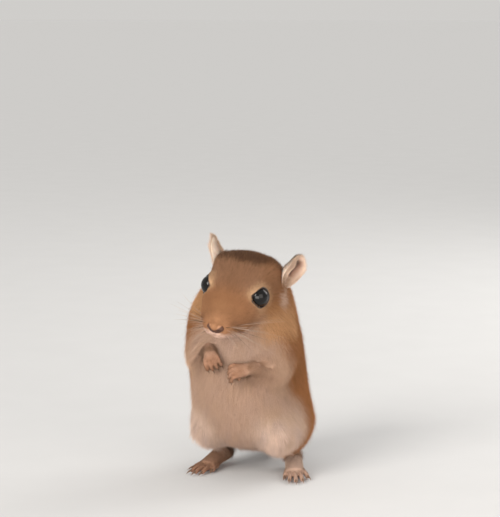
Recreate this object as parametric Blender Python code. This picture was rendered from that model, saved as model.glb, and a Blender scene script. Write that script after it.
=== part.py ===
"""A young gerbil sitting up on its haunches, a still model at life size.

It holds its forepaws together before the chest, its head is a little bowed and leans to
its left, and its tail lies on the floor behind it. It faces -Y, +X is its own left side,
+Z is up and the floor is at 0. Sizes are millimetres until MM turns them into metres.
Each solid reaches to the tips of the short coat.
"""

import math

import bmesh
import bpy
import numpy as np
from mathutils import Matrix, Vector

MM = 0.001
GAP = 0.3  # clearance that neighbouring nodes keep
LEFT, RIGHT = 1, -1
SIDE_NAME = {LEFT: "left", RIGHT: "right"}

# Trunk sections from the seat to the nape:
# height, sideways, backwards, forward tilt, half width, to the belly, to the back
TRUNK = [
    (7.8, 1.0, 7.0, 0, 9.5, 9.0, 9.0),
    (10.8, 1.0, 5.0, 0, 14.0, 15.5, 15.5),
    (15.5, 1.0, 2.8, 0, 16.8, 20.3, 19.5),
    (22.0, 0.6, 1.2, 0, 19.0, 22.6, 21.2),
    (30.0, 0.1, -0.2, 0, 20.1, 22.8, 21.4),
    (38.0, -0.4, -1.0, 0, 20.2, 21.6, 20.4),
    (46.0, -1.2, -1.6, 2, 20.2, 18.8, 18.8),
    (53.0, -1.7, -2.4, 5, 19.8, 16.8, 17.0),
    (59.0, -1.3, -3.6, 9, 18.7, 15.2, 15.4),
    (64.5, -0.2, -5.0, 14, 16.6, 14.0, 13.8),
    (69.5, 0.6, -6.8, 20, 13.4, 12.0, 11.6),
    (73.0, 1.2, -8.6, 26, 8.8, 8.2, 8.2),
]
TRUNK_SEAT = (1.0, 7.2, 6.2)
TRUNK_NAPE = (1.4, -9.6, 75.0)
TRUNK_ROUNDNESS = 2.2
TRUNK_RINGS, TRUNK_SIDES = 24, 30
COLLAR_HEIGHT, COLLAR_TILT = 57.5, 12  # where the neck meets the torso

# The head is made about the point between its eyes, then bowed, turned and leant.
HEAD_AT = (1.6, -18.2, 67.2)
HEAD_BOW, HEAD_TURN, HEAD_LEAN = 16, -1, 10
# Head sections from the nose to the nape: backwards, top, widest height, underside, half width
HEAD = [
    (-16.8, -4.2, -6.0, -8.0, 1.9),
    (-15.9, -2.9, -6.3, -9.6, 3.7),
    (-14.4, -1.5, -6.6, -11.0, 5.5),
    (-12.0, 0.1, -6.5, -12.2, 7.2),
    (-9.0, 1.9, -5.9, -13.1, 8.6),
    (-5.0, 4.1, -4.8, -13.9, 9.9),
    (-1.0, 6.1, -4.2, -14.6, 11.0),
    (3.0, 7.7, -4.0, -15.0, 12.2),
    (7.0, 8.6, -3.6, -15.2, 13.2),
    (11.0, 8.9, -3.2, -14.8, 13.7),
    (15.0, 8.3, -2.6, -13.4, 13.2),
    (19.0, 6.3, -1.8, -10.4, 11.2),
    (22.0, 3.4, -1.2, -6.2, 7.4),
]
NOSE_TIP = (0.0, -17.3, -6.0)
HEAD_BACK = (0.0, 23.6, -1.0)
HEAD_ROUNDNESS = 2.25
HEAD_RINGS, HEAD_SIDES = 28, 30
# Soft swellings of the head: place, radius, height. The side is mirrored for each.
SWELLINGS = [
    ((3.3, -14.6, -7.4), 2.1, 0.75),  # whisker pad
    ((0.9, -13.6, -11.2), 1.7, 0.45),  # lower lip
    ((9.3, -0.3, 0.2), 4.6, 1.1),  # round the eye
    ((11.6, 5.0, -8.5), 5.0, 0.9),  # cheek
    ((5.5, -7.2, 1.0), 2.6, -0.5),  # hollow before the eye
    ((8.4, 9.5, 6.2), 4.6, 0.9),  # corner of the crown before the ear
]

EYE_PLACE = (8.4, -1.0, 0.0)
EYE_RADIUS = 3.6
EYE_LOOKS = (0.84, -0.50, 0.22)
LID_THICKNESS = 0.5
LID_OPENING = (3.5, 3.25, 4.5)  # half width, half height, reach of the front corner

EAR_ROOT = (13.2, 12.4, -1.8)
EAR_TIP = (17.6, 14.8, 9.4)
EAR_FACES = (0.85, -0.50, 0.0)
EAR_HALF_WIDTH = 4.7
EAR_HOLLOW = 3.6
EAR_THICKNESS = 0.8

# Hind legs. The left foot stands wider and further forward than the right.
HAUNCH_LINE = {
    LEFT: [(9.5, 14.5, 18.6), (12.2, 6.5, 20.0), (13.2, -3.0, 19.4), (13.8, -11.0, 17.2)],
    RIGHT: [(-7.5, 14.5, 20.0), (-10.2, 6.5, 21.6), (-11.2, -3.0, 20.8), (-10.8, -11.2, 17.8)],
}
HAUNCH_SIZES = [(5.5, 7.5), (9.2, 12.2), (9.6, 11.9), (7.0, 7.4)]  # half width, half height
HEEL = {LEFT: (12.2, 10.8, 5.6), RIGHT: (-11.4, 9.4, 5.6)}
ANKLE = {LEFT: (13.6, 6.6, 7.4), RIGHT: (-12.4, 5.2, 7.4)}
TOE_ROOTS = {LEFT: (17.9, -3.8, 2.5), RIGHT: (-14.5, -4.7, 2.5)}
FOOT_SIZES = [(2.5, 2.5), (3.1, 2.9), (3.1, 2.3), (3.2, 1.9)]  # half width, half height
# Toes from the inner one: sideways at the root, set back, length, spread in degrees
TOES = [
    (-2.5, 2.6, 4.6, -13),
    (-1.45, 0.4, 6.6, -6),
    (0.0, 0.0, 7.2, 0),
    (1.45, 0.4, 6.6, 7),
    (2.5, 2.6, 4.8, 20),
]
TOE_RADII = (1.15, 1.0, 0.8)
TOE_CLAW = (2.2, 0.42, 0.1)  # length, radius at the root and at the point

# Forelegs
SHOULDER = {LEFT: (12.6, -6.0, 51.0), RIGHT: (-13.3, -6.0, 52.0)}
ELBOW = {LEFT: (15.4, -13.2, 39.8), RIGHT: (-13.8, -12.8, 43.2)}
WRIST = {LEFT: (9.6, -22.6, 41.8), RIGHT: (-6.6, -22.4, 47.0)}
FINGERTIPS = {LEFT: (0.0, -26.2, 39.9), RIGHT: (-3.6, -25.8, 42.0)}
UPPER_ARM_RADII = (6.6, 5.9, 4.6)
FOREARM_RADII = (4.5, 3.7, 2.3)
PALM_SHARE = 0.55  # of the way from wrist to fingertips
PALM_SIZES = [(2.0, 1.8), (2.8, 2.0), (2.7, 1.7)]
FINGERS = [(-2.25, 0.86), (-0.75, 1.0), (0.75, 1.0), (2.25, 0.84)]  # sideways, share of length
FINGER_RADII = (0.95, 0.95, 0.8)
FINGER_REACH, FINGER_CURL = 2.9, 2.4  # past the palm, and back towards the chest
FINGER_CLAW = (1.3, 0.3, 0.1)

# Tail, lying back along the floor: the line that it follows and its radii
TAIL_LINE = [
    (0.8, 15.0, 10.5),
    (0.6, 21.0, 7.0),
    (-0.4, 27.0, 4.6),
    (-4.5, 39.0, 3.0),
    (-12.0, 54.0, 2.6),
    (-20.0, 69.0, 2.5),
    (-26.0, 83.0, 2.9),
    (-28.0, 96.0, 2.4),
]
TAIL_RADII = (6.6, 5.2, 4.1, 3.2, 2.8, 2.7, 3.2, 2.0)
TAIL_CUTS = (0.42, 0.62, 0.78)  # shares of the line where the lengths part
TAIL_NAMES = ("tail_root", "tail_middle", "tail_end", "tail_tuft")
TAIL_RINGS, TAIL_SIDES = 34, 12
TUFT_TIERS, TIER_LOCKS = 4, 4
TUFT_SEED = 7
TUFT_CORE = 0.62  # of the tail's radius there
LOCK_LENGTH, LOCK_WIDTH, LOCK_THICKNESS = 10.5, 3.1, 1.0
FLOOR_FLAT = 0.35  # how much of a foot's or the tail's underside the floor cuts off

COLOURS = {
    "gold": (0.42, 0.22, 0.10),
    "cream": (0.62, 0.46, 0.34),
    "buff": (0.52, 0.34, 0.21),
    "skin": (0.55, 0.33, 0.25),
    "dusk": (0.10, 0.06, 0.04),
    "eye": (0.012, 0.010, 0.010),
}


def clear_scene():
    for thing in list(bpy.data.objects):
        bpy.data.objects.remove(thing)


def material(name):
    """The named finish, made once: short dry fur, or the wet black of the eye."""
    found = bpy.data.materials.get(name)
    if found:
        return found
    made = bpy.data.materials.new(name)
    made.use_nodes = True
    shader = made.node_tree.nodes["Principled BSDF"]
    shader.inputs["Base Color"].default_value = (*COLOURS[name], 1)
    shader.inputs["Roughness"].default_value = 0.08 if name == "eye" else 0.85
    shader.inputs["Metallic"].default_value = 0.0
    made.diffuse_color = (*COLOURS[name], 1)
    return made


def smooth_rows(rows, count):
    """Rows of numbers at even steps along the smooth curve through the given rows."""
    rows = np.asarray(rows, float)
    padded = np.vstack([2 * rows[0] - rows[1], rows, 2 * rows[-1] - rows[-2]])
    at = np.linspace(0, len(rows) - 1, count)
    first = np.minimum(at.astype(int), len(rows) - 2)
    t = (at - first)[:, None]
    a, b, c, d = (padded[first + k] for k in range(4))
    return 0.5 * (
        2 * b
        + (c - a) * t
        + (2 * a - 5 * b + 4 * c - d) * t**2
        + (3 * b - a - 3 * c + d) * t**3
    )


def section(centre, across, upward, half_width, above, below, roundness, sides):
    """Points round a rounded section whose upper and lower halves may differ."""
    turn = 2 * math.pi * np.arange(sides) / sides
    c, s = np.cos(turn), np.sin(turn)
    wide = half_width * np.sign(c) * np.abs(c) ** (2 / roundness)
    high = np.where(s > 0, above, below) * np.sign(s) * np.abs(s) ** (2 / roundness)
    return np.asarray(centre) + np.outer(wide, across) + np.outer(high, upward)


def closed_mesh(name, points, faces, finish):
    """An object from points in millimetres, its faces turned outwards."""
    mesh = bpy.data.meshes.new(name)
    mesh.from_pydata([tuple(p * MM) for p in np.asarray(points)], [], faces)
    shell = bmesh.new()
    shell.from_mesh(mesh)
    bmesh.ops.recalc_face_normals(shell, faces=shell.faces)
    shell.to_mesh(mesh)
    shell.free()
    mesh.shade_smooth()
    mesh.materials.append(material(finish))
    made = bpy.data.objects.new(name, mesh)
    bpy.context.scene.collection.objects.link(made)
    return made


def loft(name, rings, first_tip, last_tip, finish):
    """A closed skin over a row of sections, drawn to a point at each end."""
    count, sides = len(rings), len(rings[0])
    points = np.vstack([[first_tip], *rings, [last_tip]])
    last = len(points) - 1
    faces = []
    for k in range(sides):
        after = (k + 1) % sides
        faces.append((0, 1 + after, 1 + k))
        start = 1 + (count - 1) * sides
        faces.append((last, start + k, start + after))
        for ring in range(count - 1):
            low, high = 1 + ring * sides, 1 + (ring + 1) * sides
            faces.append((low + k, low + after, high + after, high + k))
    return closed_mesh(name, points, faces, finish)


def limb(name, line, sizes, finish, sides=14, rings=12, grow=0.0, upright=(0, 0, 1)):
    """A limb along a smooth line. A size is a radius, or a half width and half height."""
    sizes = [size if isinstance(size, tuple) else (size, size) for size in sizes]
    rows = smooth_rows([(*p, *s) for p, s in zip(line, sizes)], rings)
    centres, sizes = rows[:, :3], rows[:, 3:] + grow
    forward = np.gradient(centres, axis=0)
    forward /= np.linalg.norm(forward, axis=1)[:, None]
    across = np.cross(forward, upright)
    across /= np.linalg.norm(across, axis=1)[:, None]
    upward = np.cross(across, forward)

    def cap(end, share, shrink):
        return section(
            centres[end] + forward[end] * sizes[end].mean() * share,
            across[end],
            upward[end],
            sizes[end][0] * shrink,
            sizes[end][1] * shrink,
            sizes[end][1] * shrink,
            2,
            sides,
        )

    body = [
        section(centres[k], across[k], upward[k], *sizes[k], sizes[k][1], 2, sides)
        for k in range(rings)
    ]
    body = [cap(0, -0.62, 0.78), *body, cap(-1, 0.62, 0.78)]
    tips = [
        centres[0] - forward[0] * sizes[0].mean() * 0.95,
        centres[-1] + forward[-1] * sizes[-1].mean() * 0.95,
    ]
    return loft(name, body, *tips, finish)


def ball(name, centre, radii, finish="gold", segments=20, rings=12):
    """An ellipsoid in millimetres, used whole or to cut with."""
    mesh = bpy.data.meshes.new(name)
    shell = bmesh.new()
    bmesh.ops.create_uvsphere(shell, u_segments=segments, v_segments=rings, radius=1)
    shell.transform(Matrix.Diagonal((*radii, 1)))
    shell.transform(Matrix.Translation(centre))
    shell.transform(Matrix.Scale(MM, 4))
    shell.to_mesh(mesh)
    shell.free()
    mesh.shade_smooth()
    mesh.materials.append(material(finish))
    made = bpy.data.objects.new(name, mesh)
    bpy.context.scene.collection.objects.link(made)
    return made


def slab(name, low, high):
    """A plain block between two corners, for cutting."""
    mesh = bpy.data.meshes.new(name)
    shell = bmesh.new()
    bmesh.ops.create_cube(shell, size=1)
    low, high = Vector(low), Vector(high)
    shell.transform(Matrix.Diagonal((*(high - low), 1)))
    shell.transform(Matrix.Translation((low + high) / 2))
    shell.transform(Matrix.Scale(MM, 4))
    shell.to_mesh(mesh)
    shell.free()
    made = bpy.data.objects.new(name, mesh)
    bpy.context.scene.collection.objects.link(made)
    return made


def keep_largest(obj):
    """Deletes every closed surface of the object but the largest."""
    shell = bmesh.new()
    shell.from_mesh(obj.data)
    unseen, islands = set(shell.verts), []
    while unseen:
        island, edge = set(), [unseen.pop()]
        while edge:
            vertex = edge.pop()
            island.add(vertex)
            near = {e.other_vert(vertex) for e in vertex.link_edges} & unseen
            unseen -= near
            edge.extend(near)
        islands.append(island)
    islands.sort(key=len)
    scraps = [vertex for island in islands[:-1] for vertex in island]
    bmesh.ops.delete(shell, geom=scraps, context="VERTS")
    shell.to_mesh(obj.data)
    shell.free()


def combine(obj, others, operation):
    """One Boolean of the object with the others together, applied. The others go."""
    group = bpy.data.collections.new("joined")
    bpy.context.scene.collection.children.link(group)
    for other in others:
        group.objects.link(other)
    modifier = obj.modifiers.new(operation.lower(), "BOOLEAN")
    modifier.operand_type = "COLLECTION"
    modifier.collection = group
    modifier.operation = operation
    modifier.solver = "MANIFOLD"  # much quicker here than the exact solver
    graph = bpy.context.evaluated_depsgraph_get()
    mesh = bpy.data.meshes.new_from_object(obj.evaluated_get(graph))
    obj.modifiers.clear()
    obj.data = mesh
    for other in others:
        bpy.data.objects.remove(other)
    bpy.data.collections.remove(group)
    keep_largest(obj)
    return obj


def cut(obj, *cutters):
    return combine(obj, cutters, "DIFFERENCE")


def fuse(obj, *others):
    return combine(obj, others, "UNION")


def floor_cutter():
    """Everything under the floor, so that what dips into it gets a small flat."""
    return slab("below_floor", (-80, -80, -20), (80, 160, 0))


def trunk(name="trunk", grow=0.0):
    """Torso and neck in one skin, from the seat up into the head."""
    rings = []
    for height, side, back, tilt, half, belly, spine in smooth_rows(TRUNK, TRUNK_RINGS):
        lean = math.radians(tilt)
        backwards = np.array([0, math.cos(lean), math.sin(lean)])
        rings.append(
            section(
                (side, back, height),
                (1, 0, 0),
                backwards,
                half + grow,
                spine + grow,
                belly + grow,
                TRUNK_ROUNDNESS,
                TRUNK_SIDES,
            )
        )
    seat = np.array(TRUNK_SEAT) - (0, 0, grow)
    nape = np.array(TRUNK_NAPE) + (0, 0, grow)
    return loft(name, rings, seat, nape, "cream")


def head_sections(grow=0.0):
    """The head's sections in its own frame, swollen at the pads, brows and cheeks."""
    rings = []
    for back, top, middle, under, half in smooth_rows(HEAD, HEAD_RINGS):
        rings.append(
            section(
                (0, back, middle),
                (1, 0, 0),
                (0, 0, 1),
                half + grow,
                top - middle + grow,
                middle - under + grow,
                HEAD_ROUNDNESS,
                HEAD_SIDES,
            )
        )
    rings = np.array(rings)
    middle = np.array([0, 0, -4.0])
    outward = rings - middle * (1, 0, 1) - rings * (0, 1, 0)
    outward /= np.linalg.norm(outward, axis=2)[..., None]
    for place, radius, height in SWELLINGS:
        for side in (LEFT, RIGHT):
            centre = np.array(place) * (side, 1, 1)
            near = np.linalg.norm(rings - centre, axis=2) / radius
            rings = rings + outward * (height * np.exp(-(near**2)))[..., None]
    return rings


def head_frame():
    """Turns the head's own frame into the animal's, in metres."""
    lean = Matrix.Rotation(math.radians(HEAD_LEAN), 4, "Y")
    turn = Matrix.Rotation(math.radians(HEAD_TURN), 4, "Z")
    bow = Matrix.Rotation(math.radians(HEAD_BOW), 4, "X")
    return Matrix.Translation(Vector(HEAD_AT) * MM) @ lean @ turn @ bow


def settle(obj, frame):
    obj.data.transform(frame)
    return obj


def head_blank(name="head_blank", grow=0.0):
    """The plain head in the animal's frame, to make the head from or to cut with."""
    tips = np.array(NOSE_TIP) - (0, grow, 0), np.array(HEAD_BACK) + (0, grow, 0)
    return loft(name, head_sections(grow), *tips, "gold")


def surface_point(back, turn):
    """A point on the head's skin: how far back, and the angle round from its left side."""
    rings = head_sections()
    rows = rings[:, 0, 1]
    ring = int(np.argmin(np.abs(rows - back)))
    share = (turn % 360) / 360 * HEAD_SIDES
    first = int(share) % HEAD_SIDES
    after = (first + 1) % HEAD_SIDES
    return rings[ring, first] + (rings[ring, after] - rings[ring, first]) * (share % 1)


def mouth_line(side):
    """The groove of the mouth, from the middle of the lip back to one corner."""
    steps = np.linspace(0, 1, 6)
    points = [surface_point(-15.9 + 4.6 * t**1.6, 270 + side * 56 * t) for t in steps]
    return limb("mouth_cut", points, [0.34] * 6, "skin", 6, 9, upright=(0, 0.6, 0.8))


def lip_cleft():
    """The short groove from the nose down to the mouth."""
    points = [(0, -17.9, -7.6), (0, -17.3, -8.6), (0, -16.2, -9.6)]
    return limb("cleft_cut", points, [0.26] * 3, "skin", 6, 5, upright=(1, 0, 0))


def eye_axes(side):
    """Outward, along the opening and upward axes of an eye, in the head's frame."""
    outward = Vector(EYE_LOOKS)
    outward.x *= side
    outward.normalize()
    along = Vector((0, 0, 1)).cross(outward).normalized() * side
    return outward, along, outward.cross(along).normalized() * side


def lid_opening(side):
    """A prism through the lids: an oval drawn to a point at the eye's front corner."""
    outward, along, upward = eye_axes(side)
    half_width, half_height, corner = LID_OPENING
    centre = Vector(EYE_PLACE)
    centre.x *= side
    outline = []
    for k in range(18):
        turn = 2 * math.pi * k / 18
        reach = half_width * math.cos(turn)
        if k == 9:
            reach = -corner
        rise = half_height * math.sin(turn) - (0.5 if k == 9 else 0)
        outline.append(along * reach + upward * rise)
    rings = [
        np.array([centre + outward * depth + p for p in outline])
        for depth in (1.2, EYE_RADIUS + 4)
    ]
    tips = centre + outward * 1.0, centre + outward * (EYE_RADIUS + 4.2)
    return loft("lid_cut", rings, *map(np.array, tips), "skin")


def head():
    """The head with its sockets, lids, nose pad, nostrils and mouth."""
    made = head_blank("head")
    centres = [np.array(EYE_PLACE) * (side, 1, 1) for side in (LEFT, RIGHT)]
    socket, lid = EYE_RADIUS + GAP, EYE_RADIUS + GAP + LID_THICKNESS
    lids = [ball("lid", c, (lid,) * 3, segments=20, rings=13) for c in centres]
    nose = ball("nose_pad", (0, -17.0, -6.1), (1.85, 1.35, 1.5), segments=14, rings=9)
    fuse(made, *lids, nose)
    sockets = [ball("socket", c, (socket,) * 3, segments=20, rings=13) for c in centres]
    nostrils = [
        ball("nostril", (side * 1.1, -17.9, -6.2), (0.42, 0.8, 0.5), segments=8, rings=6)
        for side in (LEFT, RIGHT)
    ]
    openings = [lid_opening(side) for side in (LEFT, RIGHT)]
    cut(made, *sockets, *openings)
    cut(made, *nostrils, lip_cleft())
    cut(made, mouth_line(LEFT), mouth_line(RIGHT))
    return settle(made, head_frame())


def eye(side):
    centre = np.array(EYE_PLACE) * (side, 1, 1)
    made = ball(f"eye_{SIDE_NAME[side]}", centre, (EYE_RADIUS,) * 3, "eye", 18, 11)
    return settle(made, head_frame())


def ear(side):
    """A cupped oval leaf with one thickness, narrow at its root."""
    root = np.array(EAR_ROOT) * (side, 1, 1)
    tip = np.array(EAR_TIP) * (side, 1, 1)
    axis = (tip - root) / np.linalg.norm(tip - root)
    faces_to = np.array(EAR_FACES) * (side, 1, 1)
    faces_to = faces_to - axis * (faces_to @ axis)
    faces_to /= np.linalg.norm(faces_to)
    across = np.cross(axis, faces_to)
    half_length = np.linalg.norm(tip - root) / 2
    spokes, hoops = 22, 5
    front, back = [], []
    for hoop in range(hoops + 1):
        share = hoop / hoops
        turns = 2 * math.pi * np.arange(spokes if hoop else 1) / spokes
        for turn in turns:
            along = share * math.sin(turn)
            narrow = 0.80 + 0.20 * math.tanh(2.2 * (along + 0.25))
            wide = share * math.cos(turn) * narrow
            depth = EAR_HOLLOW * (share**2 - 1) + 0.5 * share**8
            place = (root + tip) / 2
            place = place + axis * half_length * along + across * EAR_HALF_WIDTH * wide
            place = place + faces_to * depth
            thick = EAR_THICKNESS * (1 - 0.25 * share)
            front.append(place)
            back.append(place - faces_to * thick)
    count = len(front)
    faces = []
    for k in range(spokes):
        after = (k + 1) % spokes
        triangles = [(0, 1 + k, 1 + after)]
        for hoop in range(hoops - 1):
            low, high = 1 + hoop * spokes, 1 + (hoop + 1) * spokes
            triangles.append((low + k, high + k, high + after))
            triangles.append((low + k, high + after, low + after))
        faces += triangles
        faces += [tuple(count + v for v in reversed(t)) for t in triangles]
        rim = 1 + (hoops - 1) * spokes
        faces.append((rim + k, count + rim + k, count + rim + after))
        faces.append((rim + k, count + rim + after, rim + after))
    made = closed_mesh(f"ear_{SIDE_NAME[side]}", front + back, faces, "skin")
    cut(made, head_blank(grow=GAP))
    return settle(made, head_frame())


def torso_and_neck():
    """The trunk parted at the collar, each half cleared of the head."""
    torso, neck = trunk("torso"), trunk("neck")
    lean = Matrix.Rotation(math.radians(COLLAR_TILT), 4, "X")
    frame = Matrix.Translation((0, 0, COLLAR_HEIGHT * MM)) @ lean
    above = settle(slab("above", (-60, -60, -GAP / 2), (60, 60, 90)), frame)
    below = settle(slab("below", (-60, -60, -90), (60, 60, GAP / 2)), frame)
    cut(torso, above, settle(head_blank(grow=GAP), head_frame()))
    cut(neck, below, settle(head_blank(grow=GAP), head_frame()))
    return torso, neck


def thigh(side, name=None, grow=0.0):
    name = name or f"thigh_{SIDE_NAME[side]}"
    return limb(name, HAUNCH_LINE[side], HAUNCH_SIZES, "cream", 24, 13, grow)


def shank(side, name=None, grow=0.0):
    knee = np.array(HAUNCH_LINE[side][-1]) + (0, 1.0, -2.0)
    line = [knee, (knee + ANKLE[side]) / 2 + (side * 0.6, 0, -0.4), ANKLE[side]]
    name = name or f"shank_{SIDE_NAME[side]}"
    return limb(name, line, (4.6, 3.9, 3.1), "buff", 14, 9, grow)


def claw(root, forward, droop, sizes, finish="dusk"):
    """A small hooked claw."""
    length, thick, fine = sizes
    line = [
        root,
        root + forward * length * 0.5 + droop * length * 0.05,
        root + forward * length + droop * length * 0.3,
    ]
    return limb("claw", line, (thick, thick * 0.7, fine), finish, 4, 3, upright=(0.1, 0.2, 1))


def hind_foot(side):
    """Heel, sole and five toes with claws, flat where it meets the floor."""
    heel, ankle, root = (np.array(p[side]) for p in (HEEL, ANKLE, TOE_ROOTS))
    middle = (ankle + root) / 2 + (0, 0, 0.1)
    made = limb(
        f"hind_foot_{SIDE_NAME[side]}",
        [heel, ankle * 0.75 + heel * 0.25 + (0, 0, -1.4), middle, root],
        FOOT_SIZES,
        "buff",
        14,
        9,
    )
    forward = (root - heel) * (1, 1, 0)
    forward /= np.linalg.norm(forward)
    down = np.array([0, 0, -1.0])
    pieces = []
    for sideways, set_back, length, spread in TOES:
        turn = Matrix.Rotation(math.radians(spread * side), 3, "Z")
        ahead = np.array(turn @ Vector(forward))
        out = np.cross(down, forward) * -side
        start = root + out * sideways - forward * (set_back + 0.8)
        start[2] = 1.75
        knuckle = start + ahead * (length * 0.55 + 0.8) + (0, 0, 0.25)
        end = start + ahead * (length + 0.8)
        end[2] = TOE_RADII[-1] - FLOOR_FLAT * 0.6
        pieces.append(limb("toe", [start, knuckle, end], TOE_RADII, "buff", 6, 4))
        nail = end + (0, 0, 0.25) + ahead * 0.3
        pieces.append(claw(nail, ahead, down, TOE_CLAW))
    fuse(made, *pieces)
    cut(made, floor_cutter())
    return made


def upper_arm(side, name=None, grow=0.0):
    shoulder, elbow = (np.array(p[side]) for p in (SHOULDER, ELBOW))
    line = [shoulder, (shoulder + elbow) / 2 + (side * 0.8, -0.5, 0), elbow]
    name = name or f"upper_arm_{SIDE_NAME[side]}"
    return limb(name, line, UPPER_ARM_RADII, "cream", 18, 10, grow)


def forearm(side, name=None, grow=0.0):
    elbow, wrist = (np.array(p[side]) for p in (ELBOW, WRIST))
    line = [elbow, (elbow + wrist) / 2 + (side * 0.5, -0.6, -0.3), wrist]
    name = name or f"forearm_{SIDE_NAME[side]}"
    return limb(name, line, FOREARM_RADII, "cream", 16, 9, grow)


def forepaw(side):
    """A palm and four curled fingers with claws."""
    wrist, tips = (np.array(p[side]) for p in (WRIST, FINGERTIPS))
    reach = np.linalg.norm(tips - wrist)
    ahead = (tips - wrist) / reach
    inward = np.array([0.0, 0.75, -0.65])  # the way the fingers curl, to chest and floor
    inward -= ahead * (inward @ ahead)
    inward /= np.linalg.norm(inward)
    across = np.cross(ahead, inward)
    palm_end = wrist + ahead * reach * PALM_SHARE
    made = limb(
        f"forepaw_{SIDE_NAME[side]}",
        [wrist, (wrist + palm_end) / 2, palm_end],
        PALM_SIZES,
        "buff",
        10,
        5,
        upright=tuple(inward),
    )
    pieces = []
    for sideways, share in FINGERS:
        start = wrist + ahead * reach * 0.35 + across * sideways * 0.8
        knuckle = palm_end + ahead * FINGER_REACH * share * 0.8 + across * sideways
        end = palm_end + ahead * FINGER_REACH * share + across * sideways * 0.9
        end = end + inward * FINGER_CURL * share
        pieces.append(limb("finger", [start, knuckle, end], FINGER_RADII, "buff", 6, 4))
        bend = (ahead * 0.4 + inward) / np.linalg.norm(ahead * 0.4 + inward)
        pieces.append(claw(end + bend * 0.2, bend, inward, FINGER_CLAW))
    fuse(made, *pieces)
    return made


def tail_rows():
    """The tail's line and radius at each of its rings."""
    rows = [(*p, r) for p, r in zip(TAIL_LINE, TAIL_RADII)]
    return smooth_rows(rows, TAIL_RINGS)


def along(rows, at):
    """The tail's centre, radius and frame at a fractional ring number."""
    first = min(int(at), len(rows) - 2)
    row = rows[first] + (rows[first + 1] - rows[first]) * (at - first)
    ahead = rows[first + 1, :3] - rows[first, :3]
    ahead /= np.linalg.norm(ahead)
    side = np.cross(ahead, (0, 0, 1))
    side /= np.linalg.norm(side)
    return row[:3], row[3], ahead, side, np.cross(side, ahead)


def tuft_locks(rows, start):
    """Tiers of flat tapered locks that overlap and lie back round the end of the tail."""
    chance = np.random.default_rng(TUFT_SEED)
    pieces = []
    for tier in range(TUFT_TIERS):
        at = start + 1 + (len(rows) - 3.2 - start) * tier / (TUFT_TIERS - 1)
        centre, radius, ahead, side, upward = along(rows, at)
        for k in range(TIER_LOCKS):
            turn = 2 * math.pi * (k + 0.5 * (tier % 2) + chance.uniform(-0.1, 0.1)) / TIER_LOCKS
            out = side * math.cos(turn) + upward * math.sin(turn)
            length = LOCK_LENGTH * chance.uniform(0.85, 1.1)
            steps = [(0.0, 0.25), (0.36, 0.62), (0.72, 0.72), (1.0, 0.66)]
            line = [centre + ahead * length * a + out * radius * lift for a, lift in steps]
            sizes = [
                (LOCK_WIDTH / 2, LOCK_THICKNESS / 2),
                (LOCK_WIDTH / 2, LOCK_THICKNESS / 2),
                (LOCK_WIDTH / 3, LOCK_THICKNESS / 2.6),
                (0.2, 0.2),
            ]
            pieces.append(limb("lock", line, sizes, "dusk", 4, 4, upright=tuple(out)))
    return pieces


def tail():
    """The tail in four lengths that part at thin gaps, the last with its tuft."""
    rows = tail_rows()
    cuts = [0, *(int(share * TAIL_RINGS) for share in TAIL_CUTS), TAIL_RINGS - 1]
    lengths = []
    for name, first, last in zip(TAIL_NAMES, cuts[:-1], cuts[1:]):
        part = rows[first : last + 1].copy()
        ahead = np.gradient(part[:, :3], axis=0)
        ahead /= np.linalg.norm(ahead, axis=1)[:, None]
        tip = name == TAIL_NAMES[-1]
        part[0, :3] += ahead[0] * (GAP / 2 if first else 0)
        part[-1, :3] -= ahead[-1] * (0 if tip else GAP / 2)
        rings = []
        for row, forward in zip(part, ahead):
            side = np.cross(forward, (0, 0, 1))
            side /= np.linalg.norm(side)
            upward = np.cross(side, forward)
            radius = row[3] * (TUFT_CORE if tip else 1)
            rings.append(
                section(row[:3], side, upward, radius, radius, radius, 2, TAIL_SIDES)
            )
        ends = part[0, :3], part[-1, :3] + (ahead[-1] * 1.2 if tip else 0)
        made = loft(name, rings, *ends, "dusk" if tip else "gold")
        if tip:
            fuse(made, *tuft_locks(rows, first))
        cut(made, floor_cutter())
        lengths.append(made)
    cut(lengths[0], trunk("near_trunk", GAP))
    return lengths


def stand_on_origin():
    """Moves the whole animal, so that the origin is under the middle of its box."""
    nodes = bpy.context.scene.objects
    points = np.array([v.co for obj in nodes for v in obj.data.vertices])
    low, high = points.min(axis=0), points.max(axis=0)
    middle = (low + high) / 2
    for obj in nodes:
        obj.data.transform(Matrix.Translation((-middle[0], -middle[1], -low[2])))


def main():
    clear_scene()
    torso_and_neck()
    head()
    for side in (LEFT, RIGHT):
        eye(side)
        ear(side)
        near = trunk("near_trunk", GAP)
        cut(thigh(side), near)
        cut(shank(side), trunk("near_trunk", GAP), thigh(side, "near_thigh", GAP))
        foot = hind_foot(side)
        cut(foot, trunk("near_trunk", GAP), shank(side, "near_shank", GAP))
        cut(upper_arm(side), trunk("near_trunk", GAP), settle(head_blank(grow=GAP), head_frame()))
        cut(forearm(side), trunk("near_trunk", GAP), upper_arm(side, "near_arm", GAP))
        cut(forepaw(side), trunk("near_trunk", GAP), forearm(side, "near_forearm", GAP))
    tail()
    stand_on_origin()


main()
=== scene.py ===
"""Looks of a golden gerbil that sits up with its forepaws together.

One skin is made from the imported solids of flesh, a coat of fine solid tufts grows on it
along the lie of the fur, and eyes, lids, nose, ears, claws and whiskers are pieces of
their own. Shapes are worked out in millimetres in the animal's own frame, where it faces
-Y, its left side is +X and the floor is at 0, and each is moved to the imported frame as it
becomes a mesh.
"""

import math

import bpy
import numpy as np
from mathutils import Matrix, Vector


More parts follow.
